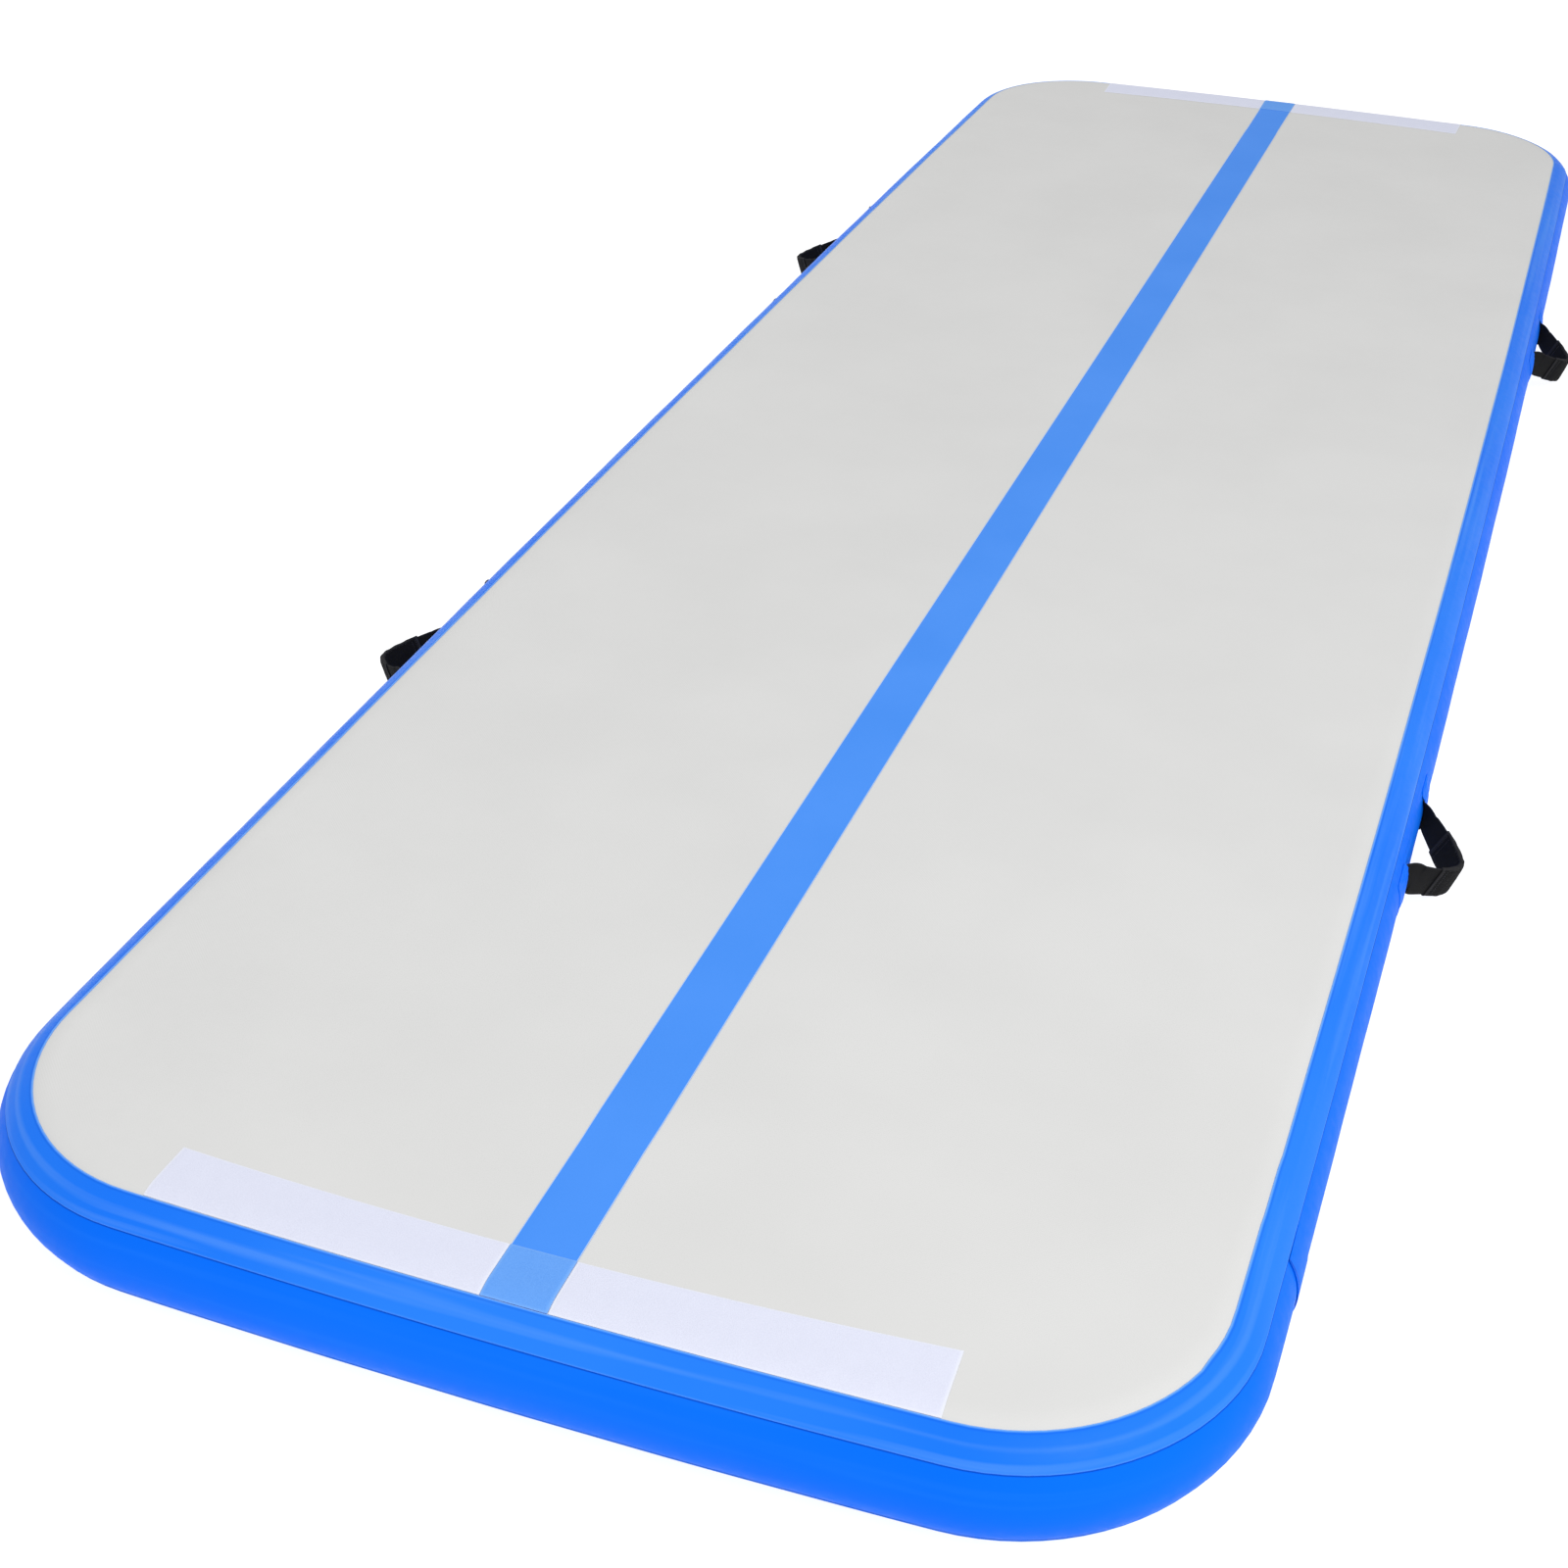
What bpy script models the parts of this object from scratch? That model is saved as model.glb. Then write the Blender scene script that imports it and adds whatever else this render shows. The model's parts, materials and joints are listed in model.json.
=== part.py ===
"""Air track mat: an inflatable drop-stitch tumbling mat, 6.1 m long, 2 m wide and 0.2 m thick.

Metres, +Z up. The origin is on the floor under the mat's centre, +Y runs along its length and
+X across it. The edge of the mat is a half circle all round: PHI is the angle round it, from 0
at the top face, through 90 at the widest line, to 180 at the bottom face.
"""

import math

import bmesh
import bpy
from mathutils import Matrix, Vector

# ---- driving dimensions -----------------------------------------------------------------
LENGTH = 6.10
WIDTH = 2.00
THICKNESS = 0.20
PANEL_CORNER_R = 0.271          # plan radius of the flat panel's corners
END_BOW = 0.023                 # how far the ends bulge in plan under pressure
SIDE_BOW = 0.0186               # how far the long sides bulge in plan
CLOTH_T = 0.0014                # coated cloth of the skins and the wall
TAPE_T = 0.0012                 # seam tapes and patches
JOINT_TAPE_HALF = 0.065         # half the length of the tape over each joint of the wall
GAP = 0.0003                    # clearance between pieces that touch

BAND_START = 20                 # PHI where the outer seam band begins
BAND_END = 52                   # PHI where it ends on the wall
SEAM_PHI = 45                   # PHI where skin and wall meet, under the band
PATCH_SPAN = (66, 114)          # PHI covered by the patches of the handles and the D-rings
STRIPE_HALF = 0.05
HOOK_HALF_LENGTH = 0.60         # half the run of hook-and-loop tape across each end
HOOK_WIDTH = 0.10
HOOK_T = 0.0015
STRIPE_T = 0.0006

HANDLE_PLACES = {               # name: (side, place along the mat)
    "near_right": (1, -1.25),
    "far_right": (1, 1.32),
    "near_left": (-1, -1.31),
    "far_left": (-1, 1.23),
}
HANDLE_HALF_SPAN = 0.125        # from the grip's middle to where the webbing is sewn down
HANDLE_REACH = 0.094            # how far the loop stands off the wall
HANDLE_DROOP = 33               # degrees below level at rest
HANDLE_TAPER = 0.45             # how much the loop narrows towards its tip
HANDLE_STANDOFF = 0.002         # from the patch's face to the axis that the loop swings on
LOOP_START = 0.0022             # from that axis to the first cut of the webbing
WEBBING_HALF_WIDTH = 0.030
WEBBING_T = 0.003

D_RING_PLACES = {"near": -1.02, "far": 1.60}
D_RING_Z = 0.108
D_RING_HALF_BAR = 0.025
D_RING_DEPTH = 0.035
D_RING_WIRE_R = 0.0025
D_RING_STANDOFF = 0.0055        # from the patch's face to the middle of the bar
D_RING_REST_TURN = 10           # degrees that the ring stands off the wall at rest
TAB_HALF_WIDTH = 0.019

VALVE_Y = 0.772
VALVE_FLANGE_R = 0.036
VALVE_BARREL_R = 0.0225
VALVE_BORE_R = 0.0195
VALVE_HOLE_R = 0.0235           # hole in the wall cloth

YARN_ROWS = 6
YARN_ROW_SPACING = 0.28
YARN_HALF_RUN = 2.80
YARN_BAYS = 14

# ---- how finely round things are cut ----------------------------------------------------
PHI_STEP = 15
SIDE_STEPS = 6
END_STEPS = 4
CORNER_STEPS = 6
TURN_STEPS = 24
LOOP_STEPS = 16                 # cuts along a handle's webbing
SLEEVE_FROM = 5                 # the cut where its grip sleeve starts

# ---- worked out from the above ----------------------------------------------------------
EDGE_R = THICKNESS / 2
HALF_A = WIDTH / 2 - EDGE_R - SIDE_BOW
HALF_B = LENGTH / 2 - EDGE_R - END_BOW
STRAIGHT_A = HALF_A - PANEL_CORNER_R
STRAIGHT_B = HALF_B - PANEL_CORNER_R
FAR_START = SIDE_STEPS + CORNER_STEPS
LEFT_START = FAR_START + END_STEPS + CORNER_STEPS
NEAR_START = LEFT_START + SIDE_STEPS + CORNER_STEPS
STATIONS = NEAR_START + END_STEPS + CORNER_STEPS
OVER_R = EDGE_R + GAP           # radius of whatever lies on the skin or the wall
WALL_SPAN = (BAND_END + 1.5, 180 - BAND_END - 1.5)   # PHI of bare wall between the seam bands

COLLECTION_NAME = "air_track_mat"


# ---- scene helpers ----------------------------------------------------------------------
def clear_scene():
    for obj in list(bpy.data.objects):
        bpy.data.objects.remove(obj, do_unlink=True)


def new_collection(name):
    collection = bpy.data.collections.new(name)
    bpy.context.scene.collection.children.link(collection)
    return collection


def make_material(name, color, roughness, metallic=0.0):
    material = bpy.data.materials.new(name)
    material.use_nodes = True
    shader = material.node_tree.nodes["Principled BSDF"]
    shader.inputs["Base Color"].default_value = (*color, 1.0)
    shader.inputs["Roughness"].default_value = roughness
    shader.inputs["Metallic"].default_value = metallic
    return material


def link(name, data, material, parent=None):
    obj = bpy.data.objects.new(name, data)
    PARTS.objects.link(obj)
    if material:
        data.materials.append(material)
    obj.parent = parent
    return obj


def empty(name, location, rotation=(0, 0, 0)):
    obj = bpy.data.objects.new(name, None)
    obj.empty_display_size = 0.05
    obj.location = location
    obj.rotation_euler = rotation
    PARTS.objects.link(obj)
    return obj


def as_cutter(obj):
    PARTS.objects.unlink(obj)
    CUTTERS.objects.link(obj)
    obj.hide_render = True
    obj.display_type = "WIRE"
    return obj


def cut(obj, cutter):
    modifier = obj.modifiers.new("cut", "BOOLEAN")
    modifier.operation = "DIFFERENCE"
    modifier.object = cutter


def loft(name, rows, material, parent=None, ring=False):
    """A solid through rows of points. Each row is a closed loop; a ring joins its last row to
    its first, and anything else is closed by a face at each end."""
    mesh = bpy.data.meshes.new(name)
    work = bmesh.new()
    verts = [[work.verts.new(point) for point in row] for row in rows]
    pairs = list(zip(verts, verts[1:] + verts[:1] if ring else verts[1:]))
    for here, there in pairs:
        for i in range(len(here)):
            j = (i + 1) % len(here)
            work.faces.new((here[i], here[j], there[j], there[i]))
    if not ring:
        work.faces.new(verts[0])
        work.faces.new(verts[-1])
    bmesh.ops.recalc_face_normals(work, faces=work.faces)
    work.to_mesh(mesh)
    work.free()
    return link(name, mesh, material, parent)


def turned(name, outline, material, parent):
    """A turned piece: a closed outline of (radius, height) swept round the parent's Z."""
    mesh = bpy.data.meshes.new(name)
    count = len(outline)
    mesh.from_pydata(
        [(radius, 0, height) for radius, height in outline],
        [(i, (i + 1) % count) for i in range(count)],
        [],
    )
    obj = link(name, mesh, material, parent)
    screw = obj.modifiers.new("turn", "SCREW")
    screw.steps = TURN_STEPS
    screw.render_steps = TURN_STEPS
    screw.use_merge_vertices = True
    screw.merge_threshold = 0.00001
    screw.use_smooth_shade = False
    return obj


def tube(name, points, radius, material, parent, cyclic=False, resolution=1):
    curve = bpy.data.curves.new(name, "CURVE")
    curve.dimensions = "3D"
    curve.bevel_depth = radius
    curve.bevel_resolution = resolution
    curve.use_fill_caps = True
    spline = curve.splines.new("POLY")
    spline.points.add(len(points) - 1)
    for point, co in zip(spline.points, points):
        point.co = (*co, 1.0)
    spline.use_cyclic_u = cyclic
    return link(name, curve, material, parent)


def flat_plate(name, outlines, half_height, material, parent):
    """A plate cut to the outlines, the first outside and any others holes, in the XY plane."""
    curve = bpy.data.curves.new(name, "CURVE")
    curve.dimensions = "2D"
    curve.fill_mode = "BOTH"
    curve.extrude = half_height
    for outline in outlines:
        spline = curve.splines.new("POLY")
        spline.points.add(len(outline) - 1)
        for point, (x, y) in zip(spline.points, outline):
            point.co = (x, y, 0.0, 1.0)
        spline.use_cyclic_u = True
    return link(name, curve, material, parent)


def arc(radius, start, end, steps, centre=(0.0, 0.0)):
    """Points on a circle, from one angle to another in degrees, both ends included."""
    angles = [math.radians(start + (end - start) * i / steps) for i in range(steps + 1)]
    return [
        (centre[0] + radius * math.cos(a), centre[1] + radius * math.sin(a)) for a in angles
    ]


# ---- the mat's surface ------------------------------------------------------------------
def bowed(point):
    """A point of the plain outline, moved out by the bulge of the sides and ends."""
    x, y = point
    return Vector((
        x * (1 + SIDE_BOW / HALF_A * (1 - (y / HALF_B) ** 2)),
        y * (1 + END_BOW / HALF_B * (1 - (x / HALF_A) ** 2)),
    ))


def plan_outline():
    """The flat panel's edge, counter-clockwise from the near end of the right side."""
    sides = [
        ((HALF_A, -STRAIGHT_B), (HALF_A, STRAIGHT_B), SIDE_STEPS),
        ((STRAIGHT_A, HALF_B), (-STRAIGHT_A, HALF_B), END_STEPS),
        ((-HALF_A, STRAIGHT_B), (-HALF_A, -STRAIGHT_B), SIDE_STEPS),
        ((-STRAIGHT_A, -HALF_B), (STRAIGHT_A, -HALF_B), END_STEPS),
    ]
    centres = [(1, 1), (-1, 1), (-1, -1), (1, -1)]
    points = []
    for quarter, (start, end, steps) in enumerate(sides):
        points += [Vector(start).lerp(Vector(end), i / steps) for i in range(steps)]
        across, along = centres[quarter]
        centre = (across * STRAIGHT_A, along * STRAIGHT_B)
        start_turn = 90 * quarter
        corner = arc(PANEL_CORNER_R, start_turn, start_turn + 90, CORNER_STEPS, centre)
        points += [Vector(point) for point in corner[:-1]]
    return [bowed(point) for point in points]


def mitres(outline):
    """At each point of the outline, the outward step that moves both its edges out by 1."""
    found = []
    for i, point in enumerate(outline):
        before = (point - outline[i - 1]).normalized()
        after = (outline[(i + 1) % len(outline)] - point).normalized()
        first = Vector((before.y, -before.x))
        second = Vector((after.y, -after.x))
        found.append((first + second) / (1 + first.dot(second)))
    return found


OUTLINE = plan_outline()
MITRES = mitres(OUTLINE)


def edge_profile(phi):
    """(outward, up) on a half circle of radius 1 cut into straight facets."""
    if phi <= 0:
        return Vector((0.0, 1.0))
    low = PHI_STEP * math.floor(phi / PHI_STEP)
    corners = [math.radians(low), math.radians(low + PHI_STEP)]
    first, second = (Vector((math.sin(a), math.cos(a))) for a in corners)
    return first.lerp(second, (phi - low) / PHI_STEP)


def on_mat(station, phi, radius, inset=0.0):
    """A point at a station of the outline, at PHI round the edge, or inset on the flat."""
    i = math.floor(station)
    part = station - i
    here, there = i % STATIONS, (i + 1) % STATIONS
    base = OUTLINE[here].lerp(OUTLINE[there], part)
    mitre = MITRES[here].lerp(MITRES[there], part)
    outward, up = edge_profile(phi) * radius
    x, y = base + mitre * (outward - inset)
    return Vector((x, y, EDGE_R + up))


def stops(start, end, step):
    """The start, every multiple of the step between, and the end."""
    first = math.floor(start / step) + 1
    last = math.ceil(end / step) - 1
    return [start, *(step * i for i in range(first, last + 1)), end]


def side_station(side, y):
    """The station at a place along the right (1) or left (-1) side."""
    along = (y + STRAIGHT_B) / (2 * STRAIGHT_B)
    return SIDE_STEPS * along if side > 0 else LEFT_START + SIDE_STEPS * (1 - along)


def end_station(end, x):
    """The station at a place across the far (1) or near (-1) end."""
    across = (x + STRAIGHT_A) / (2 * STRAIGHT_A)
    return FAR_START + END_STEPS * (1 - across) if end > 0 else NEAR_START + END_STEPS * across


def wall_x(y):
    """How far the wall's widest line is from the middle plane at y."""
    return on_mat(side_station(1, y), 90, EDGE_R).x


def edge_strip(name, stations, phis, inner_r, outer_r, material, parent=None, ring=False):
    """A strip of cloth along the edge, between two radii."""
    rows = []
    for station in stations:
        outside = [on_mat(station, phi, outer_r) for phi in phis]
        inside = [on_mat(station, phi, inner_r) for phi in reversed(phis)]
        rows.append(outside + inside)
    return loft(name, rows, material, parent, ring)


def wall_patch(name, side, y_from, y_to, phis, material):
    """A patch glued on the wall, cut square."""
    ends = sorted((side_station(side, y_from), side_station(side, y_to)))
    return edge_strip(name, stops(*ends, 1), stops(*phis, PHI_STEP), OVER_R,
                      OVER_R + TAPE_T, material)


# ---- air chamber ------------------------------------------------------------------------
def build_skin(name, side, material):
    """The top (1) or bottom (-1) panel: flat, with its edge turned down towards the seam."""
    phis = stops(0, SEAM_PHI - 0.2, PHI_STEP)
    layers = [(phi, EDGE_R) for phi in phis]
    layers += [(phi, EDGE_R - CLOTH_T) for phi in reversed(phis)]
    rows = []
    for phi, radius in layers:
        row = [on_mat(station, phi, radius) for station in range(STATIONS)]
        if side < 0:
            row = [Vector((p.x, p.y, THICKNESS - p.z)) for p in row]
        rows.append(row)
    loft(name, rows, material)


def build_wall(material):
    """The side wall, in two lengths that meet at two corners."""
    joint_near = side_station(1, -STRAIGHT_B + 0.18)
    joint_far = side_station(-1, STRAIGHT_B - 0.18)
    slit = GAP / (2 * STRAIGHT_B / SIDE_STEPS)
    phis = stops(SEAM_PHI + 0.2, 180 - SEAM_PHI - 0.2, PHI_STEP)
    runs = {
        "side_wall_right_far": (joint_near + slit, joint_far - slit),
        "side_wall_left_near": (joint_far + slit, joint_near + STATIONS - slit),
    }
    walls = [
        edge_strip(name, stops(*run, 1), phis, EDGE_R - CLOTH_T, EDGE_R, material)
        for name, run in runs.items()
    ]
    for name, side, sign in (("wall_joint_tape_right", 1, -1), ("wall_joint_tape_left", -1, 1)):
        middle = sign * (STRAIGHT_B - 0.18)
        wall_patch(name, side, middle - JOINT_TAPE_HALF, middle + JOINT_TAPE_HALF, WALL_SPAN,
                   material)
    return walls[1]


def build_seam_tapes(outer_material, inner_material):
    """A band outside and a sealing tape inside, along the upper and the lower seam."""
    inner_r = EDGE_R - CLOTH_T - GAP
    for name, flip in (("upper", False), ("lower", True)):
        outer = stops(BAND_START, BAND_END, PHI_STEP)
        inner = stops(SEAM_PHI - 8, SEAM_PHI + 8, PHI_STEP)
        if flip:
            outer = [180 - phi for phi in outer]
            inner = [180 - phi for phi in inner]
        edge_strip(f"{name}_seam_band", range(STATIONS), outer, OVER_R, OVER_R + TAPE_T,
                   outer_material, ring=True)
        edge_strip(f"{name}_inner_seal_tape", range(STATIONS), inner, inner_r - TAPE_T,
                   inner_r, inner_material, ring=True)


def build_yarn_rows(material):
    """Rows of drop-stitch yarn, zigzag between the two skins."""
    half_wide, half_tall = 0.0015, 0.0025
    reach = EDGE_R - CLOTH_T - half_tall - GAP
    for row in range(YARN_ROWS):
        x = (row - (YARN_ROWS - 1) / 2) * YARN_ROW_SPACING
        rows = []
        for i in range(2 * YARN_BAYS + 1):
            y = -YARN_HALF_RUN + YARN_HALF_RUN * i / YARN_BAYS
            z = EDGE_R + (reach if i % 2 else -reach)
            rows.append([
                Vector((x + across * half_wide, y, z + up * half_tall))
                for across, up in ((-1, -1), (1, -1), (1, 1), (-1, 1))
            ])
        loft(f"drop_stitch_row_{row + 1}", rows, material)


# ---- top markings and hook-and-loop -----------------------------------------------------
def end_row(end, xs, phi, inset, low, thick):
    """A row of points across one end, upper side then lower side."""
    upper = [on_mat(end_station(end, x), phi, low + thick, inset) for x in xs]
    lower = [on_mat(end_station(end, x), phi, low, inset) for x in reversed(xs)]
    return upper + lower


def build_centre_stripe(material):
    xs = [-STRIPE_HALF, 0.0, STRIPE_HALF]
    phis = [BAND_START - 1.0, PHI_STEP, 0]
    near = [end_row(-1, xs, phi, 0.0, OVER_R, STRIPE_T) for phi in phis]
    far = [end_row(1, xs, phi, 0.0, OVER_R, STRIPE_T) for phi in reversed(phis)]
    loft("centre_stripe", near + far, material)


def build_hook_and_loop(hook_material, loop_material):
    """White hook tape left and right of the stripe, and a blue loop piece on the stripe."""
    turn = math.radians(BAND_START - 1.5)
    inset = HOOK_WIDTH - EDGE_R * turn
    side = STRIPE_HALF + 0.001
    pieces = {
        "left_hook_tape": ([-HOOK_HALF_LENGTH, -STRAIGHT_A / 2, -side], OVER_R, hook_material),
        "right_hook_tape": ([side, STRAIGHT_A / 2, HOOK_HALF_LENGTH], OVER_R, hook_material),
        "centre_loop_tape": ([-STRIPE_HALF, 0.0, STRIPE_HALF], OVER_R + STRIPE_T + GAP,
                             loop_material),
    }
    levels = [(BAND_START - 1.5, 0.0), (PHI_STEP, 0.0), (0, 0.0), (0, inset)]
    for end_name, end in (("near", -1), ("far", 1)):
        for piece, (xs, low, material) in pieces.items():
            rows = [end_row(end, xs, phi, step, low, HOOK_T) for phi, step in levels]
            loft(f"{end_name}_{piece}", rows, material)


# ---- carry handles ----------------------------------------------------------------------
def loop_point(turn, grow=0.0):
    """(outward, along) on the handle's arch in plan, and the arch's outward normal there."""
    def place(angle):
        narrowing = 1 - HANDLE_TAPER * math.sin(angle) ** 2
        return Vector((
            LOOP_START + HANDLE_REACH * math.sin(angle) ** 0.85,
            -HANDLE_HALF_SPAN * math.cos(angle) * narrowing,
        ))
    tangent = (place(min(turn + 0.01, math.pi)) - place(max(turn - 0.01, 0))).normalized()
    normal = Vector((tangent.y, -tangent.x))
    return place(turn) + normal * grow, normal


def webbing_half_width(outward):
    """Full width along the loop, and a point at each sewn end that lets the loop swing."""
    return min(WEBBING_HALF_WIDTH, 0.001 + 0.95 * outward)


def build_webbing(name, parent, material):
    rows = []
    for i in range(LOOP_STEPS + 1):
        middle, normal = loop_point(math.pi * i / LOOP_STEPS)
        half = webbing_half_width(middle.x)
        rows.append([
            Vector((*(middle + normal * out * WEBBING_T / 2), up * half))
            for out, up in ((1, 1), (-1, 1), (-1, -1), (1, -1))
        ])
    loft(name, rows, material, parent)


def build_grip_sleeve(name, parent, material):
    """A padded tube of cloth round the middle of the webbing."""
    half_tall = WEBBING_HALF_WIDTH + 0.0042
    half_thick = 0.0062
    corner = 0.003
    section = [
        (out * (half_thick - (corner if bevel else 0)), up * (half_tall - (0 if bevel else corner)))
        for out, up, bevel in (
            (1, -1, 0), (1, 1, 0), (1, 1, 1), (-1, 1, 1),
            (-1, 1, 0), (-1, -1, 0), (-1, -1, 1), (1, -1, 1),
        )
    ]
    mesh = bpy.data.meshes.new(name)
    work = bmesh.new()
    rows = []
    for step in range(SLEEVE_FROM, LOOP_STEPS - SLEEVE_FROM + 1):
        middle, normal = loop_point(math.pi * step / LOOP_STEPS)
        rows.append([
            work.verts.new((*(middle + normal * out), up)) for out, up in section
        ])
    for here, there in zip(rows, rows[1:]):
        for i in range(len(section)):
            j = (i + 1) % len(section)
            work.faces.new((here[i], here[j], there[j], there[i]))
    bmesh.ops.recalc_face_normals(work, faces=work.faces)
    work.to_mesh(mesh)
    work.free()
    obj = link(name, mesh, material, parent)
    shell = obj.modifiers.new("thickness", "SOLIDIFY")
    shell.thickness = 0.0035
    shell.offset = -1
    shell.use_even_offset = True


def build_handle(place, side, y, black, blue):
    """One carry handle: two wall patches and a webbing loop that swings on the wall."""
    pivot_x = side * (wall_x(y) + GAP + TAPE_T + HANDLE_STANDOFF)
    facing = 0.0 if side > 0 else math.pi
    droop = math.radians(HANDLE_DROOP)
    pivot = empty(f"pivot_handle_{place}", (pivot_x, y, EDGE_R), (0, droop, facing))
    build_webbing(f"handle_{place}_webbing", pivot, black)
    build_grip_sleeve(f"handle_{place}_grip_sleeve", pivot, black)
    for end, sign in (("near", -1), ("far", 1)):
        inner = y + sign * (HANDLE_HALF_SPAN - 0.012)
        outer = y + sign * (HANDLE_HALF_SPAN + 0.085)
        wall_patch(f"handle_{place}_{end}_patch", side, inner, outer, PATCH_SPAN, blue)


# ---- D-rings ----------------------------------------------------------------------------
def d_ring_path():
    """A D in the YZ plane: a straight bar on Z and a half ellipse towards +Y."""
    steps = 14
    bow = [
        (0, D_RING_DEPTH * math.sin(math.pi * i / steps), -D_RING_HALF_BAR * math.cos(math.pi * i / steps))
        for i in range(steps + 1)
    ]
    bar = [(0, 0, D_RING_HALF_BAR * (1 - 2 * i / 4)) for i in range(1, 4)]
    return bow + bar


def build_d_ring(place, y, black, blue):
    wall = wall_x(y)
    patch_face = wall + GAP + TAPE_T
    bar_x = -(patch_face + D_RING_STANDOFF)
    wall_patch(f"d_ring_{place}_patch", -1, y - 0.065, y + 0.035, PATCH_SPAN, blue)
    turn = math.radians(D_RING_REST_TURN)
    pivot = empty(f"pivot_d_ring_{place}", (bar_x, y, D_RING_Z), (0, 0, turn))
    tube(f"d_ring_{place}_ring", d_ring_path(), D_RING_WIRE_R, black, pivot, cyclic=True)
    hole_r = D_RING_WIRE_R + 0.0006
    back = D_RING_STANDOFF - GAP
    outside = [(back, -0.045), (back, 0.0), *arc(hole_r + 0.0018, 0, 180, 8), (back - 0.003, -0.045)]
    tab = flat_plate(f"d_ring_{place}_tab", [outside, arc(hole_r, 0, 330, 11)], TAB_HALF_WIDTH,
                     blue, None)
    tab.location = (bar_x, y, D_RING_Z)


# ---- inflation valve --------------------------------------------------------------------
def ring_outline(inner, outer, low, high):
    """A rectangle to turn, running down its outer side."""
    return [(outer, high), (outer, low), (inner, low), (inner, high)]


def disc_with_stem(layers):
    """A solid turned piece: (radius, low, high) layers from the top down, closed on the axis."""
    points = [(0.0, layers[0][2])]
    for radius, low, high in layers:
        points += [(radius, high), (radius, low)]
    points.append((0.0, layers[-1][1]))
    return points


def build_valve(wall, grey, black, rubber, steel):
    band_face = wall_x(VALVE_Y) + GAP + TAPE_T
    axis = empty("valve_axis", (-band_face, VALVE_Y, EDGE_R), (0, -math.pi / 2, 0))

    hole = turned("valve_hole_cutter", disc_with_stem([(VALVE_HOLE_R, -0.02, 0.01)]), None, axis)
    cut(wall, as_cutter(hole))

    saddle = turned("valve_gasket", ring_outline(VALVE_HOLE_R, VALVE_FLANGE_R + 0.002, -0.0105, 0.002),
                    rubber, axis)
    span = sorted((side_station(-1, VALVE_Y - 0.08), side_station(-1, VALVE_Y + 0.08)))
    core = edge_strip("wall_form_cutter", stops(*span, 1), stops(30, 150, PHI_STEP), 0.02,
                      OVER_R, None)
    cut(saddle, as_cutter(core))

    body = [
        (VALVE_FLANGE_R, 0.0050), (VALVE_FLANGE_R, 0.0023), (VALVE_BARREL_R, 0.0023),
        (VALVE_BARREL_R, -0.0200), (0.0055, -0.0200), (0.0055, -0.0175),
        (VALVE_BORE_R, -0.0175), (VALVE_BORE_R, 0.0063), (VALVE_FLANGE_R - 0.0025, 0.0063),
    ]
    body_obj = turned("valve_body", body, grey, axis)
    vents = build_vent_cutters(axis)
    cut(body_obj, vents)

    turned("valve_clamp_ring", ring_outline(VALVE_BARREL_R + GAP, 0.0345, -0.0150, -0.0107),
           grey, axis)
    plunger = [(0.0080, -0.0065, -0.0035), (0.0028, -0.0228, -0.0065), (0.0148, -0.0255, -0.0228)]
    turned("valve_plunger", disc_with_stem(plunger), black, axis)
    turned("valve_plunger_seal", ring_outline(0.0035, 0.0145, -0.0225, -0.0203), rubber, axis)
    build_valve_spring(axis, steel)
    build_valve_cap(axis, grey, rubber)


def build_vent_cutters(axis):
    """Six round vents through the valve's seat."""
    mesh = bpy.data.meshes.new("valve_vent_cutter")
    work = bmesh.new()
    for i in range(6):
        turn = Matrix.Rotation(math.radians(60 * i), 4, "Z")
        place = turn @ Matrix.Translation((0.0105, 0, -0.01875))
        bmesh.ops.create_cone(work, cap_ends=True, segments=10, radius1=0.0022, radius2=0.0022,
                              depth=0.008, matrix=place)
    work.to_mesh(mesh)
    work.free()
    return as_cutter(link("valve_vent_cutter", mesh, None, axis))


def build_valve_spring(axis, material):
    turns, per_turn = 4, 10
    low, high, radius = -0.0166, -0.0074, 0.0058
    points = []
    for i in range(turns * per_turn + 1):
        angle = 2 * math.pi * i / per_turn
        height = low + (high - low) * i / (turns * per_turn)
        points.append((radius * math.cos(angle), radius * math.sin(angle), height))
    tube("valve_spring", points, 0.0006, material, axis, resolution=0)


def build_valve_cap(axis, grey, rubber):
    """A screw cap with a knurled head, its O-ring, and the leash that keeps it."""
    cap = [
        (0.0, 0.0128), (0.0245, 0.0128), (0.0262, 0.0112), (0.0262, 0.0090),
        (0.0190, 0.0090), (0.0190, 0.0034), (0.0168, 0.0034), (0.0168, 0.0010),
        (0.0190, 0.0010), (0.0190, -0.0010), (0.0152, -0.0010), (0.0152, 0.0098), (0.0, 0.0098),
    ]
    turned("valve_cap", cap, grey, axis)
    section = arc(0.0009, 0, -315, 7, (0.0182, 0.0022))
    turned("valve_cap_o_ring", section, rubber, axis)
    reach = 0.0250
    tail = math.radians(16)
    outline = arc(reach, 16, 344, 20)
    outline += [(0.040, -reach * math.sin(tail)), (0.046, -0.003), (0.046, 0.003),
                (0.040, reach * math.sin(tail))]
    leash = flat_plate("valve_cap_leash", [outline, arc(0.0194, 345, 0, 23)], 0.0009, rubber, axis)
    leash.location = (0, 0, 0.0077)
    leash.rotation_euler = (0, 0, math.pi / 2)


# ---- assembly ---------------------------------------------------------------------------
clear_scene()
PARTS = new_collection(COLLECTION_NAME)
CUTTERS = new_collection("cutters")
CUTTERS.hide_render = True


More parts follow.
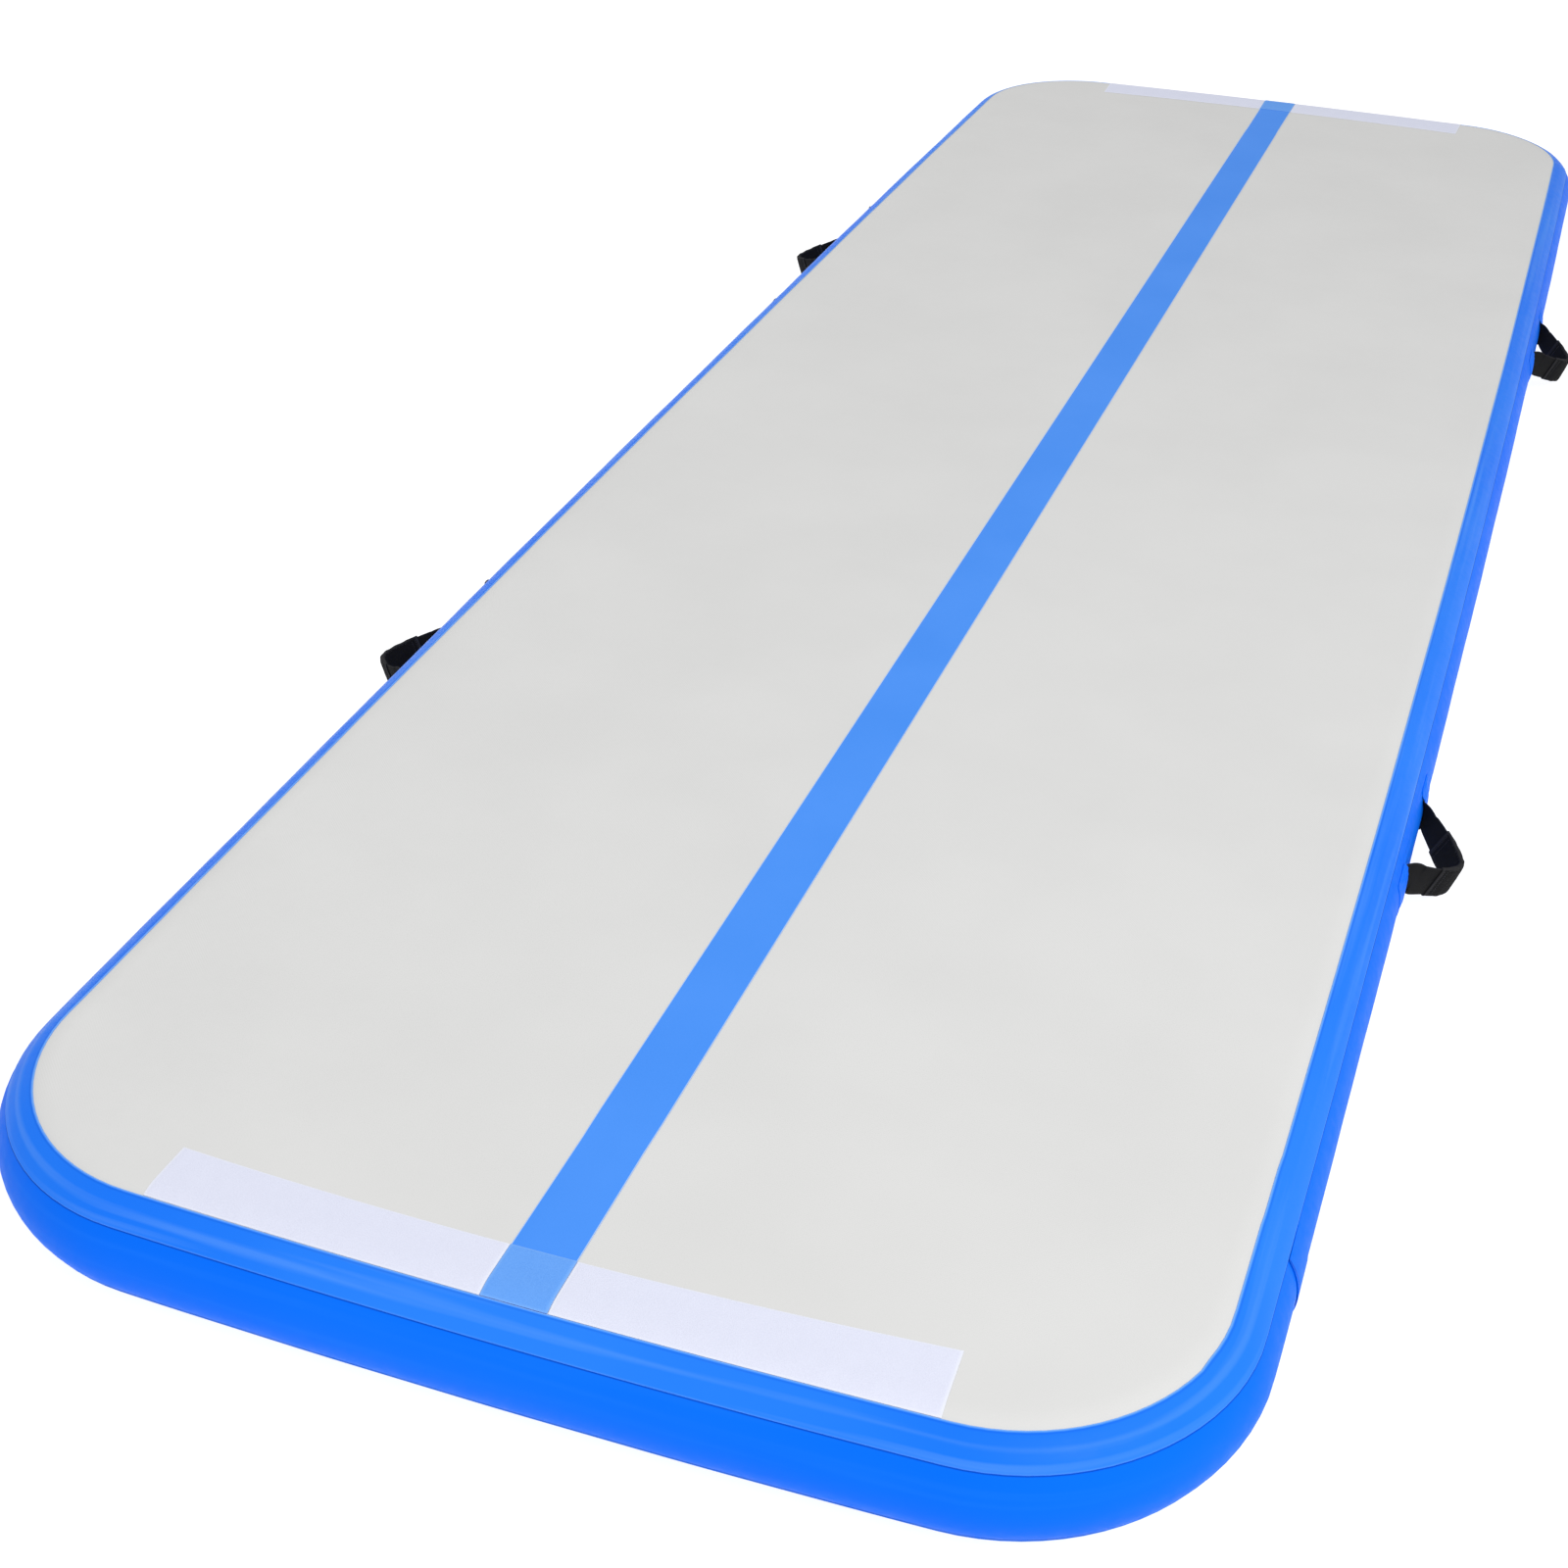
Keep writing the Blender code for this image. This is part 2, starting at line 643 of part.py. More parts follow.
def build():
    grey_pvc = make_material("grey_pvc", (0.74, 0.74, 0.75), 0.55)
    blue_pvc = make_material("blue_pvc", (0.02, 0.19, 0.90), 0.40)
    band_blue = make_material("band_blue_pvc", (0.05, 0.27, 0.95), 0.38)
    tape_white = make_material("inner_tape", (0.80, 0.80, 0.80), 0.60)
    yarn = make_material("polyester_yarn", (0.85, 0.85, 0.82), 0.80)
    stripe_blue = make_material("stripe_blue", (0.08, 0.33, 1.00), 0.50)
    hook_white = make_material("hook_white", (0.82, 0.84, 0.90), 0.85)
    loop_blue = make_material("loop_blue", (0.15, 0.42, 0.98), 0.90)
    webbing_black = make_material("webbing_black", (0.012, 0.012, 0.013), 0.75)
    ring_black = make_material("ring_black", (0.015, 0.015, 0.015), 0.40)
    valve_grey = make_material("valve_grey", (0.35, 0.36, 0.37), 0.45)
    rubber = make_material("rubber_black", (0.02, 0.02, 0.02), 0.70)
    steel = make_material("spring_steel", (0.60, 0.60, 0.60), 0.30, 1.0)

    build_skin("top_skin", 1, grey_pvc)
    build_skin("bottom_skin", -1, grey_pvc)
    left_wall = build_wall(blue_pvc)
    build_seam_tapes(band_blue, tape_white)
    build_yarn_rows(yarn)
    build_centre_stripe(stripe_blue)
    build_hook_and_loop(hook_white, loop_blue)
    for place, (side, y) in HANDLE_PLACES.items():
        build_handle(place, side, y, webbing_black, blue_pvc)
    for place, y in D_RING_PLACES.items():
        build_d_ring(place, y, ring_black, blue_pvc)
    build_valve(left_wall, valve_grey, ring_black, rubber, steel)


build()
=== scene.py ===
"""Looks for the air track mat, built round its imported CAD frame.

Metres, +Z up, the same frame as the CAD: +Y runs along the mat and +X across it. The mat's edge
is a half circle all round; PHI is the angle round it in degrees, 0 at the top face and 180 at the
bottom face. Cloth pieces are closed sheets that lie on that surface or just above it.
"""

import json
import math

import bmesh
import bpy
import numpy as np
from mathutils import Matrix, Vector


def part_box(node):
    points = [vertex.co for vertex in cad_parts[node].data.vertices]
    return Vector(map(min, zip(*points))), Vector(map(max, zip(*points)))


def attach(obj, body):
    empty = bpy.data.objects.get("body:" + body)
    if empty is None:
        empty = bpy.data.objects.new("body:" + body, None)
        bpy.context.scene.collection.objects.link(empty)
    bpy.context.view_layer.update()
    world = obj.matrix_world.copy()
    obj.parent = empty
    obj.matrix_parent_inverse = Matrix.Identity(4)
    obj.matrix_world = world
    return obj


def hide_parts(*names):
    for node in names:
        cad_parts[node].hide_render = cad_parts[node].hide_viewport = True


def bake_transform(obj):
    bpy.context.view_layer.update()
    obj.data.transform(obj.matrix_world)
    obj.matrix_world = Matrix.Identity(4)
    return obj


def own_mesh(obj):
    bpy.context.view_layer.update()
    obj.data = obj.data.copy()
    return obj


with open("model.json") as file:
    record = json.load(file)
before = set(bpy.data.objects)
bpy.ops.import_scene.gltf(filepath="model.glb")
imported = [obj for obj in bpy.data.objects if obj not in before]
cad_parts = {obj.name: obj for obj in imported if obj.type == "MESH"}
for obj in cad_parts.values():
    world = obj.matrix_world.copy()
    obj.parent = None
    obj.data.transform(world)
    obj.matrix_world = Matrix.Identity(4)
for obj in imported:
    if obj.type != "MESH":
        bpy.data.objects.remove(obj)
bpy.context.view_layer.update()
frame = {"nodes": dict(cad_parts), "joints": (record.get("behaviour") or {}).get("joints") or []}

# ---- the mat's shape, as in the CAD -----------------------------------------------------
WALL_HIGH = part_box("side_wall_right_far")[1]
EDGE_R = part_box("top_skin")[1].z / 2
SIDE_BOW = 0.0186
END_BOW = 0.023
PANEL_CORNER_R = 0.271
HALF_A = WALL_HIGH.x - EDGE_R - SIDE_BOW
HALF_B = WALL_HIGH.y - EDGE_R - END_BOW
STRAIGHT_A = HALF_A - PANEL_CORNER_R
STRAIGHT_B = HALF_B - PANEL_CORNER_R
CLOTH_T = 0.0014
TAPE_T = 0.0012
GAP = 0.0003
OVER_R = EDGE_R + GAP
BAND_START = 20.0
BAND_END = 52.0
SEAM_PHI = 45.0
SHADOW_LINE_PAST_BAND = 0.65                # the painted shadow line on the wall beside each band, past the band's edge
PATCH_SPAN = (66.0, 114.0)
LAP_INSET = 0.6                 # from the bands to the overlap of the wall's two lengths
STRIPE_HALF = 0.05
HOOK_T = 0.0015

JOINTS = {joint["name"]: joint for joint in frame["joints"]}
HANDLES = {
    name[len("handle_"):-len("_flop")]: Vector(joint["pos_m"])
    for name, joint in JOINTS.items() if name.endswith("_flop")
}
RINGS = {
    name[len("d_ring_"):-len("_swing")]: Vector(joint["pos_m"])
    for name, joint in JOINTS.items() if name.endswith("_swing")
}
VALVE_LOW, VALVE_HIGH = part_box("valve_body")
VALVE_Y = (VALVE_LOW.y + VALVE_HIGH.y) / 2
HALF_SPAN = 0.125               # from the middle of a handle to each place that it pulls on
ANCHORS = [
    (math.copysign(1, pivot.x), pivot.y + end * HALF_SPAN)
    for pivot in HANDLES.values() for end in (-1, 1)
]
WALL_JOINTS = (-(STRAIGHT_B - 0.18), STRAIGHT_B - 0.18)     # on the right, on the left


# ---- materials --------------------------------------------------------------------------
def rgb(red, green, blue):
    """A colour in sRGB, 0 to 255, as the linear colour that shaders take."""
    def linear(value):
        value /= 255
        return value / 12.92 if value <= 0.04045 else ((value + 0.055) / 1.055) ** 2.4
    return (linear(red), linear(green), linear(blue), 1.0)


class Look:
    """A material with a small set of node helpers. Noise sits in the object's own space."""

    def __init__(self, name, roughness, **sockets):
        self.material = bpy.data.materials.new(name)
        self.material.use_nodes = True
        self.tree = self.material.node_tree
        self.shader = self.tree.nodes["Principled BSDF"]
        self.shader.inputs["Roughness"].default_value = roughness
        for socket, value in sockets.items():
            self.shader.inputs[socket.replace("_", " ")].default_value = value
        self.place = self.add("ShaderNodeTexCoord").outputs["Object"]

    def add(self, kind, inputs=None, **settings):
        node = self.tree.nodes.new(kind)
        for key, value in settings.items():
            setattr(node, key, value)
        for key, value in (inputs or {}).items():
            if isinstance(value, bpy.types.NodeSocket):
                self.tree.links.new(value, node.inputs[key])
            else:
                node.inputs[key].default_value = value
        return node

    def noise(self, scale, detail=2.0, roughness=0.5, stretch=None):
        place = self.place
        if stretch:
            place = self.add("ShaderNodeVectorMath", {0: place, 1: stretch},
                             operation="MULTIPLY").outputs[0]
        return self.add("ShaderNodeTexNoise", {
            "Vector": place, "Scale": scale, "Detail": detail, "Roughness": roughness,
        }).outputs["Fac"]

    def value(self, name):
        return self.add("ShaderNodeAttribute", attribute_name=name).outputs["Fac"]

    def maths(self, operation, first, second=0.0, clamp=False):
        return self.add("ShaderNodeMath", {0: first, 1: second}, operation=operation,
                        use_clamp=clamp).outputs[0]

    def spread(self, source, low, high, to_low=0.0, to_high=1.0):
        return self.add("ShaderNodeMapRange", {
            "Value": source, "From Min": low, "From Max": high, "To Min": to_low,
            "To Max": to_high,
        }).outputs["Result"]

    def mix(self, factor, first, second):
        node = self.add("ShaderNodeMix", {0: factor, 6: first, 7: second}, data_type="RGBA")
        return node.outputs[2]

    def weave(self, along, across, pitch):
        """Height of a plain weave of that pitch: two sets of ridges that take turns."""
        turn = 2 * math.pi / pitch
        warp = self.maths("SINE", self.maths("MULTIPLY", along, turn))
        weft = self.maths("SINE", self.maths("MULTIPLY", across, turn))
        return self.maths("MULTIPLY", warp, weft)

    def color(self, value):
        self.tree.links.new(value, self.shader.inputs["Base Color"])

    def rough(self, value):
        self.tree.links.new(value, self.shader.inputs["Roughness"])

    def bump(self, *heights):
        """Each height is (source, distance in metres, strength)."""
        normal = None
        for source, distance, strength in heights:
            inputs = {"Height": source, "Distance": distance, "Strength": strength}
            if normal:
                inputs["Normal"] = normal
            normal = self.add("ShaderNodeBump", inputs).outputs["Normal"]
        self.tree.links.new(normal, self.shader.inputs["Normal"])


def mottled(look, first, second, scale, low=0.35, high=0.65, **noise):
    """Base colour that drifts between two near colours."""
    return look.mix(look.spread(look.noise(scale, **noise), low, high), first, second)


def axes(look):
    split = look.add("ShaderNodeSeparateXYZ", {0: look.place})
    return split.outputs["X"], split.outputs["Y"], split.outputs["Z"]


def with_trim_and_painted_light(look, base, dark, pale_and_highlight):
    """The base colour, darker where the trim and painted light value is below 0, as in the painted
    shadow lines, and paler where it is above, as in pale edges and painted highlights.
    """
    trim_and_painted_light = look.value("trim_and_painted_light")
    darker = look.mix(look.maths("MULTIPLY", trim_and_painted_light, -1.0, clamp=True), base, dark)
    return look.mix(look.maths("MULTIPLY", trim_and_painted_light, 1.0, clamp=True), darker, pale_and_highlight)


def make_grey_pvc():
    look = Look("grey_pvc", 0.5, Specular_IOR_Level=0.15)
    x, y, _ = axes(look)
    base = mottled(look, rgb(220, 220, 219), rgb(223, 223, 222), 3.0, detail=5.0)
    speckle = look.spread(look.noise(420.0, 3.0, 0.7), 0.62, 0.74)
    look.color(look.mix(look.maths("MULTIPLY", speckle, 0.25), base, rgb(236, 236, 235)))
    look.rough(look.spread(look.noise(40.0, 3.0), 0.3, 0.7, 0.44, 0.58))
    look.bump((look.weave(x, y, 0.0052), 0.00012, 0.30), (look.noise(260.0, 3.0), 0.0002, 0.35))
    return look.material


def make_blue(name, first, second, dark, pale_and_highlight, roughness, specular):
    """Glossy blue cloth with soft painted highlight streaks that run lengthwise round the mat's
    edge.
    """
    look = Look(name, roughness, Specular_IOR_Level=specular)
    base = mottled(look, first, second, 1.1, detail=3.0)
    x, y, _ = axes(look)
    round_edge = look.maths("MULTIPLY", look.value("around"), 55.0)
    place = look.add("ShaderNodeCombineXYZ", {
        0: look.maths("MULTIPLY", x, 1.3), 1: look.maths("MULTIPLY", y, 1.3), 2: round_edge,
    }).outputs[0]
    # Painted highlight: streaks of noise stretched round the edge lift the base towards the pale
    # colour.
    highlight_streaks = look.add("ShaderNodeTexNoise", {
        "Vector": place, "Scale": 1.0, "Detail": 2.0, "Roughness": 0.5,
    }).outputs["Fac"]
    highlight_streaks = look.spread(highlight_streaks, 0.50, 0.72)
    base = look.mix(look.maths("MULTIPLY", highlight_streaks, 0.28, clamp=True), base, pale_and_highlight)
    look.color(with_trim_and_painted_light(look, base, dark, pale_and_highlight))
    look.rough(look.spread(look.noise(55.0, 4.0), 0.3, 0.7, roughness - 0.05, roughness + 0.07))
    look.bump((look.noise(9.0, 3.0, 0.5, (1.0, 0.5, 1.6)), 0.0012, 0.10),
              (look.noise(650.0, 2.0), 0.0001, 0.30))
    return look.material


def make_stripe():
    look = Look("stripe_blue", 0.5, Specular_IOR_Level=0.12)
    x, y, _ = axes(look)
    base = mottled(look, rgb(70, 146, 248), rgb(76, 150, 251), 4.0, detail=5.0)
    look.color(with_trim_and_painted_light(look, base, rgb(60, 130, 235), rgb(196, 220, 250)))
    look.bump((look.weave(x, y, 0.0052), 0.00012, 0.30), (look.noise(260.0, 3.0), 0.0002, 0.35))
    return look.material


def make_fleece(name, first, second, edge):
    """Hook-and-loop tape: a dense, slightly uneven pile with a plain woven edge."""
    look = Look(name, 0.9, Specular_IOR_Level=0.1, Sheen_Weight=0.05, Sheen_Roughness=0.5)
    tuft = look.noise(520.0, 4.0, 0.75)
    base = look.mix(look.spread(tuft, 0.38, 0.66), first, second)
    drift = look.spread(look.noise(30.0, 4.0), 0.4, 0.7)
    base = look.mix(look.maths("MULTIPLY", drift, 0.3), base, second)
    look.color(look.mix(look.value("trim_and_painted_light"), base, edge))
    cells = look.add("ShaderNodeTexVoronoi", {"Vector": look.place, "Scale": 480.0})
    look.bump((tuft, 0.0006, 0.55), (cells.outputs["Distance"], 0.0005, 0.45))
    return look.material


def make_webbing(name, dark, light, pitch):
    """Woven strap: ribs in pairs across the strap, from its own along and across values."""
    look = Look(name, 0.8, Specular_IOR_Level=0.12)
    along, across = look.value("along"), look.value("across")
    ribs = look.weave(along, across, pitch)
    worn = look.spread(look.noise(180.0, 4.0, 0.7), 0.45, 0.75)
    base = look.mix(look.spread(ribs, -1.0, 1.0), dark, light)
    base = look.mix(look.maths("MULTIPLY", worn, 0.35), base, light)
    # Paler where the trim and painted light value is up: the selvedges and bound edges, and a
    # painted highlight on the grip's hems.
    look.color(look.mix(look.value("trim_and_painted_light"), base, rgb(66, 66, 69)))
    look.bump((ribs, 0.0005, 0.8), (look.noise(900.0, 2.0), 0.0002, 0.4))
    return look.material


def make_grained(name, first, second, roughness, grain, **sockets):
    """Moulded plastic, rubber, thread or metal: two near colours and a fine grain."""
    look = Look(name, roughness, **sockets)
    look.color(mottled(look, first, second, 90.0, detail=4.0))
    look.rough(look.spread(look.noise(300.0, 3.0), 0.3, 0.7, roughness - 0.06, roughness + 0.08))
    look.bump((look.noise(grain, 3.0), 0.0002, 0.35))
    return look.material


GREY_PVC = make_grey_pvc()
# The wall's dark colour paints the shadow line past each band and darkens the shown end of each
# overlap; its pale colour takes the painted highlight streaks and the patches' pale edges.
WALL_BLUE = make_blue("wall_blue_pvc", rgb(4, 109, 250), rgb(10, 114, 252), rgb(2, 66, 180),
                      rgb(30, 124, 253), 0.45, 0.03)
# The band's blue is a paler copy of the wall's blue: painted sheen from above on the band, which
# faces up.
BAND_BLUE_PAINTED_SHEEN = make_blue("band_blue_pvc", rgb(18, 116, 250), rgb(40, 130, 251), rgb(6, 84, 205),
                      rgb(112, 172, 252), 0.40, 0.07)
STRIPE_BLUE = make_stripe()
HOOK_WHITE = make_fleece("hook_white", rgb(222, 225, 243), rgb(230, 233, 250), rgb(238, 241, 252))
LOOP_BLUE = make_fleece("loop_blue", rgb(98, 160, 244), rgb(110, 170, 250), rgb(128, 182, 252))
WEBBING = make_webbing("webbing_black", rgb(12, 12, 13), rgb(30, 30, 31), 0.0022)
SLEEVE = make_webbing("sleeve_black", rgb(13, 13, 14), rgb(26, 26, 28), 0.0011)
THREAD = make_grained("thread_black", rgb(44, 44, 47), rgb(60, 60, 64), 0.6, 2500.0)
RING_BLACK = make_grained("ring_black", rgb(22, 22, 23), rgb(30, 30, 32), 0.4, 700.0)
VALVE_GREY = make_grained("valve_grey", rgb(150, 152, 156), rgb(162, 164, 168), 0.45, 900.0)
RUBBER = make_grained("rubber_black", rgb(28, 28, 29), rgb(36, 36, 38), 0.7, 1200.0)
STEEL = make_grained("spring_steel", rgb(190, 190, 192), rgb(205, 205, 207), 0.3, 1500.0,
                     Metallic=1.0)
INNER_TAPE = make_grained("inner_tape", rgb(226, 226, 224), rgb(236, 236, 234), 0.6, 800.0)
YARN = make_grained("polyester_yarn", rgb(228, 228, 222), rgb(240, 240, 235), 0.8, 1800.0)


# ---- mesh helpers -----------------------------------------------------------------------
def quads(rows, columns, wrap_rows=False, wrap_columns=False):
    """Faces of a grid of points, closed on itself where it wraps."""
    i = np.arange(rows if wrap_rows else rows - 1)[:, None]
    j = np.arange(columns if wrap_columns else columns - 1)[None, :]
    next_i, next_j = (i + 1) % rows, (j + 1) % columns
    faces = [i * columns + j, i * columns + next_j, next_i * columns + next_j,
             next_i * columns + j]
    return np.stack(np.broadcast_arrays(*faces), axis=-1).reshape(-1, 4)


def make_piece(name, points, faces, look, slot, body="mat", stands_for=(), values=None,
               sharp=40.0):
    """A smooth-shaded piece that rides on a body; values are numbers kept at its points."""
    mesh = bpy.data.meshes.new(name)
    mesh.from_pydata(np.asarray(points, float).reshape(-1, 3).tolist(), [],
                     [tuple(int(i) for i in face) for face in faces])
    for key, numbers in (values or {}).items():
        attribute = mesh.attributes.new(key, "FLOAT", "POINT")
        attribute.data.foreach_set("value", np.asarray(numbers, np.float32).ravel())
    work = bmesh.new()
    work.from_mesh(mesh)
    bmesh.ops.remove_doubles(work, verts=work.verts, dist=1e-6)
    bmesh.ops.recalc_face_normals(work, faces=work.faces)
    work.to_mesh(mesh)
    work.free()
    mesh.materials.append(look)
    mesh.shade_smooth()
    mesh.set_sharp_from_angle(angle=math.radians(sharp))
    piece = bpy.data.objects.new(name, mesh)
    bpy.context.scene.collection.objects.link(piece)
    if stands_for:
        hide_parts(*stands_for)
    if body:
        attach(piece, body)
    return piece


def solid(name, grid, look, slot, ring=False, values=None, **options):
    """A closed body through rows of closed sections, capped at both ends unless it is a ring."""
    rows, columns = grid.shape[:2]
    faces = [tuple(face) for face in quads(rows, columns, ring, True)]
    if not ring:
        faces += [tuple(range(columns)), tuple((rows - 1) * columns + np.arange(columns))]
    return make_piece(name, grid, faces, look, slot, values=values, **options)


def smooth_box(distance, half, soft):
    """1 within half of 0, and 0 beyond it by soft."""
    part = np.clip((half + soft - np.abs(distance)) / soft, 0, 1)
    return part * part * (3 - 2 * part)


# ---- the mat's surface ------------------------------------------------------------------
def unit(vectors):
    """The same directions at length 1."""
    return vectors / np.linalg.norm(vectors, axis=-1, keepdims=True)


def side_line(side, ys):
    """Edge of the flat panel along one side, and the way out from it."""
    ys = np.asarray(ys, float)
    base = np.stack([side * (HALF_A + SIDE_BOW * (1 - (ys / HALF_B) ** 2)), ys], axis=-1)
    way = np.stack([np.full_like(ys, side), 2 * SIDE_BOW * ys / HALF_B**2], axis=-1)
    return base, unit(way)


def end_line(end, xs):
    """Edge of the flat panel along one end, and the way out from it."""
    xs = np.asarray(xs, float)
    base = np.stack([xs, end * (HALF_B + END_BOW * (1 - (xs / HALF_A) ** 2))], axis=-1)
    way = np.stack([2 * END_BOW * xs / HALF_A**2, np.full_like(xs, end)], axis=-1)
    return base, unit(way)


def corner_line(across, along, degrees):
    """Edge of the flat panel round one corner, and the way out from it."""
    def place(angle):
        x = across * STRAIGHT_A + PANEL_CORNER_R * np.cos(angle)
        y = along * STRAIGHT_B + PANEL_CORNER_R * np.sin(angle)
        return np.stack([x * (1 + SIDE_BOW / HALF_A * (1 - (y / HALF_B) ** 2)),
                         y * (1 + END_BOW / HALF_B * (1 - (x / HALF_A) ** 2))], axis=-1)
    angle = np.radians(degrees)
    tangent = place(angle + 1e-4) - place(angle - 1e-4)
    return place(angle), unit(np.stack([tangent[:, 1], -tangent[:, 0]], axis=-1))


def side_places():
    """Places along a side: close together where the cloth is gathered, and far apart between."""
    busy = [y for _, y in ANCHORS] + [pivot.y for pivot in RINGS.values()]
    busy += [VALVE_Y, *WALL_JOINTS]
    ys = [-STRAIGHT_B]
    while ys[-1] < STRAIGHT_B - 0.002:
        step = 0.006 if min(abs(ys[-1] - y) for y in busy) < 0.065 else 0.03
        ys.append(ys[-1] + step)
    return np.array(ys) * (STRAIGHT_B / ys[-1])


SIDE_YS = side_places()
END_XS = np.linspace(-STRAIGHT_A, STRAIGHT_A, 37)
CORNER_STEPS = 20


def outline():
    """The flat panel's whole edge, from the near end of its right side, counterclockwise."""
    turns = np.linspace(0, 90, CORNER_STEPS + 1)[:-1]
    runs = [
        side_line(1, SIDE_YS[:-1]), corner_line(1, 1, turns),
        end_line(1, END_XS[::-1][:-1]), corner_line(-1, 1, turns + 90),
        side_line(-1, SIDE_YS[::-1][:-1]), corner_line(-1, -1, turns + 180),
        end_line(-1, END_XS[:-1]), corner_line(1, -1, turns + 270),
    ]
    return (np.concatenate([run[0] for run in runs]), np.concatenate([run[1] for run in runs]))


BASE, WAY = outline()
STATIONS = len(BASE)


def relief(base, phi):
    """How far cloth stands off the plain half circle: slow waves under pressure, the ridge of
    the seam under each band, and folds that fan out from the sewn ends of the handles."""
    x, y = base[..., 0], base[..., 1]
    turn = np.radians(phi)
    height = 0.0004 * np.sin(2.3 * y + 2.9 * x + 0.4) * np.sin(2 * turn)
    height = height + 0.0003 * np.sin(8.9 * y + 5.3 * x + 3 * turn)
    height = height + 0.00012 * np.sin(31.0 * y - 23.0 * x + 5 * turn)
    seam = np.minimum(np.abs(phi - 34), np.abs(phi - 146))
    height = height + 0.0005 * np.exp(-(seam / 2.5) ** 2)
    above = (90 - phi) / 57.3 * EDGE_R
    for side, at in ANCHORS:
        along = y - at
        near = np.exp(-(along / 0.06) ** 2) * (x * side > 0.7)
        band = np.exp(-((np.abs(above) - 0.034) / 0.020) ** 2)
        fold = np.sin(2 * math.pi * above / 0.0115 + 36 * along * np.sign(above + 1e-9))
        pull = np.exp(-(along / 0.025) ** 2 - (above / 0.03) ** 2) * (x * side > 0.7)
        height = height + 0.0010 * near * band * fold - 0.0008 * pull
    return np.clip(height, -0.002, 0.0014)


def on_edge(base, way, phi, radius):
    """Points at PHI round the edge, at a radius."""
    turn = np.radians(phi)
    flat = base + way * (radius * np.sin(turn))[..., None]
    return np.concatenate([flat, (EDGE_R + radius * np.cos(turn))[..., None]], axis=-1)


def layer(base, way, phi, low, high, ramp=0.35):
    """Closed sections of a cloth strip between two radii, its cut edges thinned."""
    base, way = base[:, None, :], way[:, None, :]
    phi = np.broadcast_to(phi, (len(base), np.shape(phi)[-1]))
    lift = relief(base, phi)
    outer = np.full(phi.shape, high)
    outer[:, [0, -1]] = low + ramp * (high - low)
    outside = on_edge(base, way, phi, outer + lift)
    inside = on_edge(base, way, phi, np.full(phi.shape, low) + lift)
    return np.concatenate([outside, inside[:, ::-1]], axis=1)


def around(phis, rows):
    """Distance round the edge at each point of a strip's sections, in metres."""
    arc = np.broadcast_to(np.radians(phis) * EDGE_R, (rows, len(phis)))
    return np.concatenate([arc, arc[:, ::-1]], axis=1)


def both_faces(values):
    """Values for a section's outer points, then 0 for its inner points."""
    return np.concatenate([values, np.zeros_like(values)], axis=1)


def stops(*runs):
    """Angles from (start, end, steps) runs that follow each other."""
    found = [np.linspace(start, end, steps + 1)[:-1] for start, end, steps in runs]
    return np.concatenate([*found, [runs[-1][1]]])


# ---- skins, wall and seam bands ---------------------------------------------------------
def top_wave(x, y):
    """Very slight unevenness of the panel between the rows of yarn."""
    edge = np.minimum(HALF_A - np.abs(x), HALF_B - np.abs(y))
    fade = np.clip(edge / 0.1, 0, 1)
    wave = np.sin(22.4 * x + 0.3 * np.sin(3 * y)) * 0.5 + np.sin(6.1 * y + 4.0 * x) * 0.5
    return -0.00018 * fade * (1 + wave)


def build_skin(name, node, side):
    """A flat panel with its rim turned over: a grid in the middle, rings out to the rim."""
    def at(i, j):
        return i * ny + j

    nx, ny = len(END_XS), len(SIDE_YS)
    columns, rows = np.meshgrid(END_XS, SIDE_YS, indexing="ij")
    core = np.stack([columns, rows], axis=-1).reshape(-1, 2)
    border = [at(nx - 1, j) for j in range(ny - 1)] + [at(nx - 1, ny - 1)] * CORNER_STEPS
    border += [at(i, ny - 1) for i in range(nx - 1, 0, -1)] + [at(0, ny - 1)] * CORNER_STEPS
    border += [at(0, j) for j in range(ny - 1, 0, -1)] + [at(0, 0)] * CORNER_STEPS
    border += [at(i, 0) for i in range(nx - 1)] + [at(nx - 1, 0)] * CORNER_STEPS
    border = np.array(border)
    rings = [core[border] + (BASE - core[border]) * part for part in np.linspace(0, 1, 8)[1:]]
    flat = np.concatenate([core, *rings])
    height = 2 * EDGE_R + top_wave(flat[:, 0], flat[:, 1]) * (side > 0)
    points = [np.column_stack([flat, height])]
    phis = stops((4.0, 18.0, 4), (18.0, SEAM_PHI - 0.2, 7))
    for phi in phis:
        turn = np.full(STATIONS, phi)
        points.append(on_edge(BASE, WAY, turn, EDGE_R + relief(BASE, turn) * min(1, phi / 20)))
    points = np.concatenate(points)
    faces = [tuple(face) for face in quads(nx, ny)]
    loops = [border] + [len(core) + np.arange(STATIONS) + k * STATIONS
                        for k in range(len(rings) + len(phis))]
    for inner, outer in zip(loops, loops[1:]):
        for k in range(STATIONS):
            j = (k + 1) % STATIONS
            face = (inner[k], inner[j], outer[j], outer[k])
            faces.append(face if inner[k] != inner[j] else face[:1] + face[2:])
    if side < 0:
        points[:, 2] = 2 * EDGE_R - points[:, 2]
    piece = make_piece(name, points, faces, GREY_PVC, "grey_pvc", stands_for=[node], body=None)
    if piece.data.polygons[0].normal.z * side < 0:
        piece.data.flip_normals()
    shell = piece.modifiers.new("cloth", "SOLIDIFY")
    shell.thickness = CLOTH_T
    shell.offset = -1
    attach(piece, "mat")
    return piece


def nearest_station(side, y):
    """The station on a side nearest to a place along it."""
    found = np.hypot(BASE[:, 0] - side * (HALF_A + SIDE_BOW), BASE[:, 1] - y)
    return int(found.argmin())


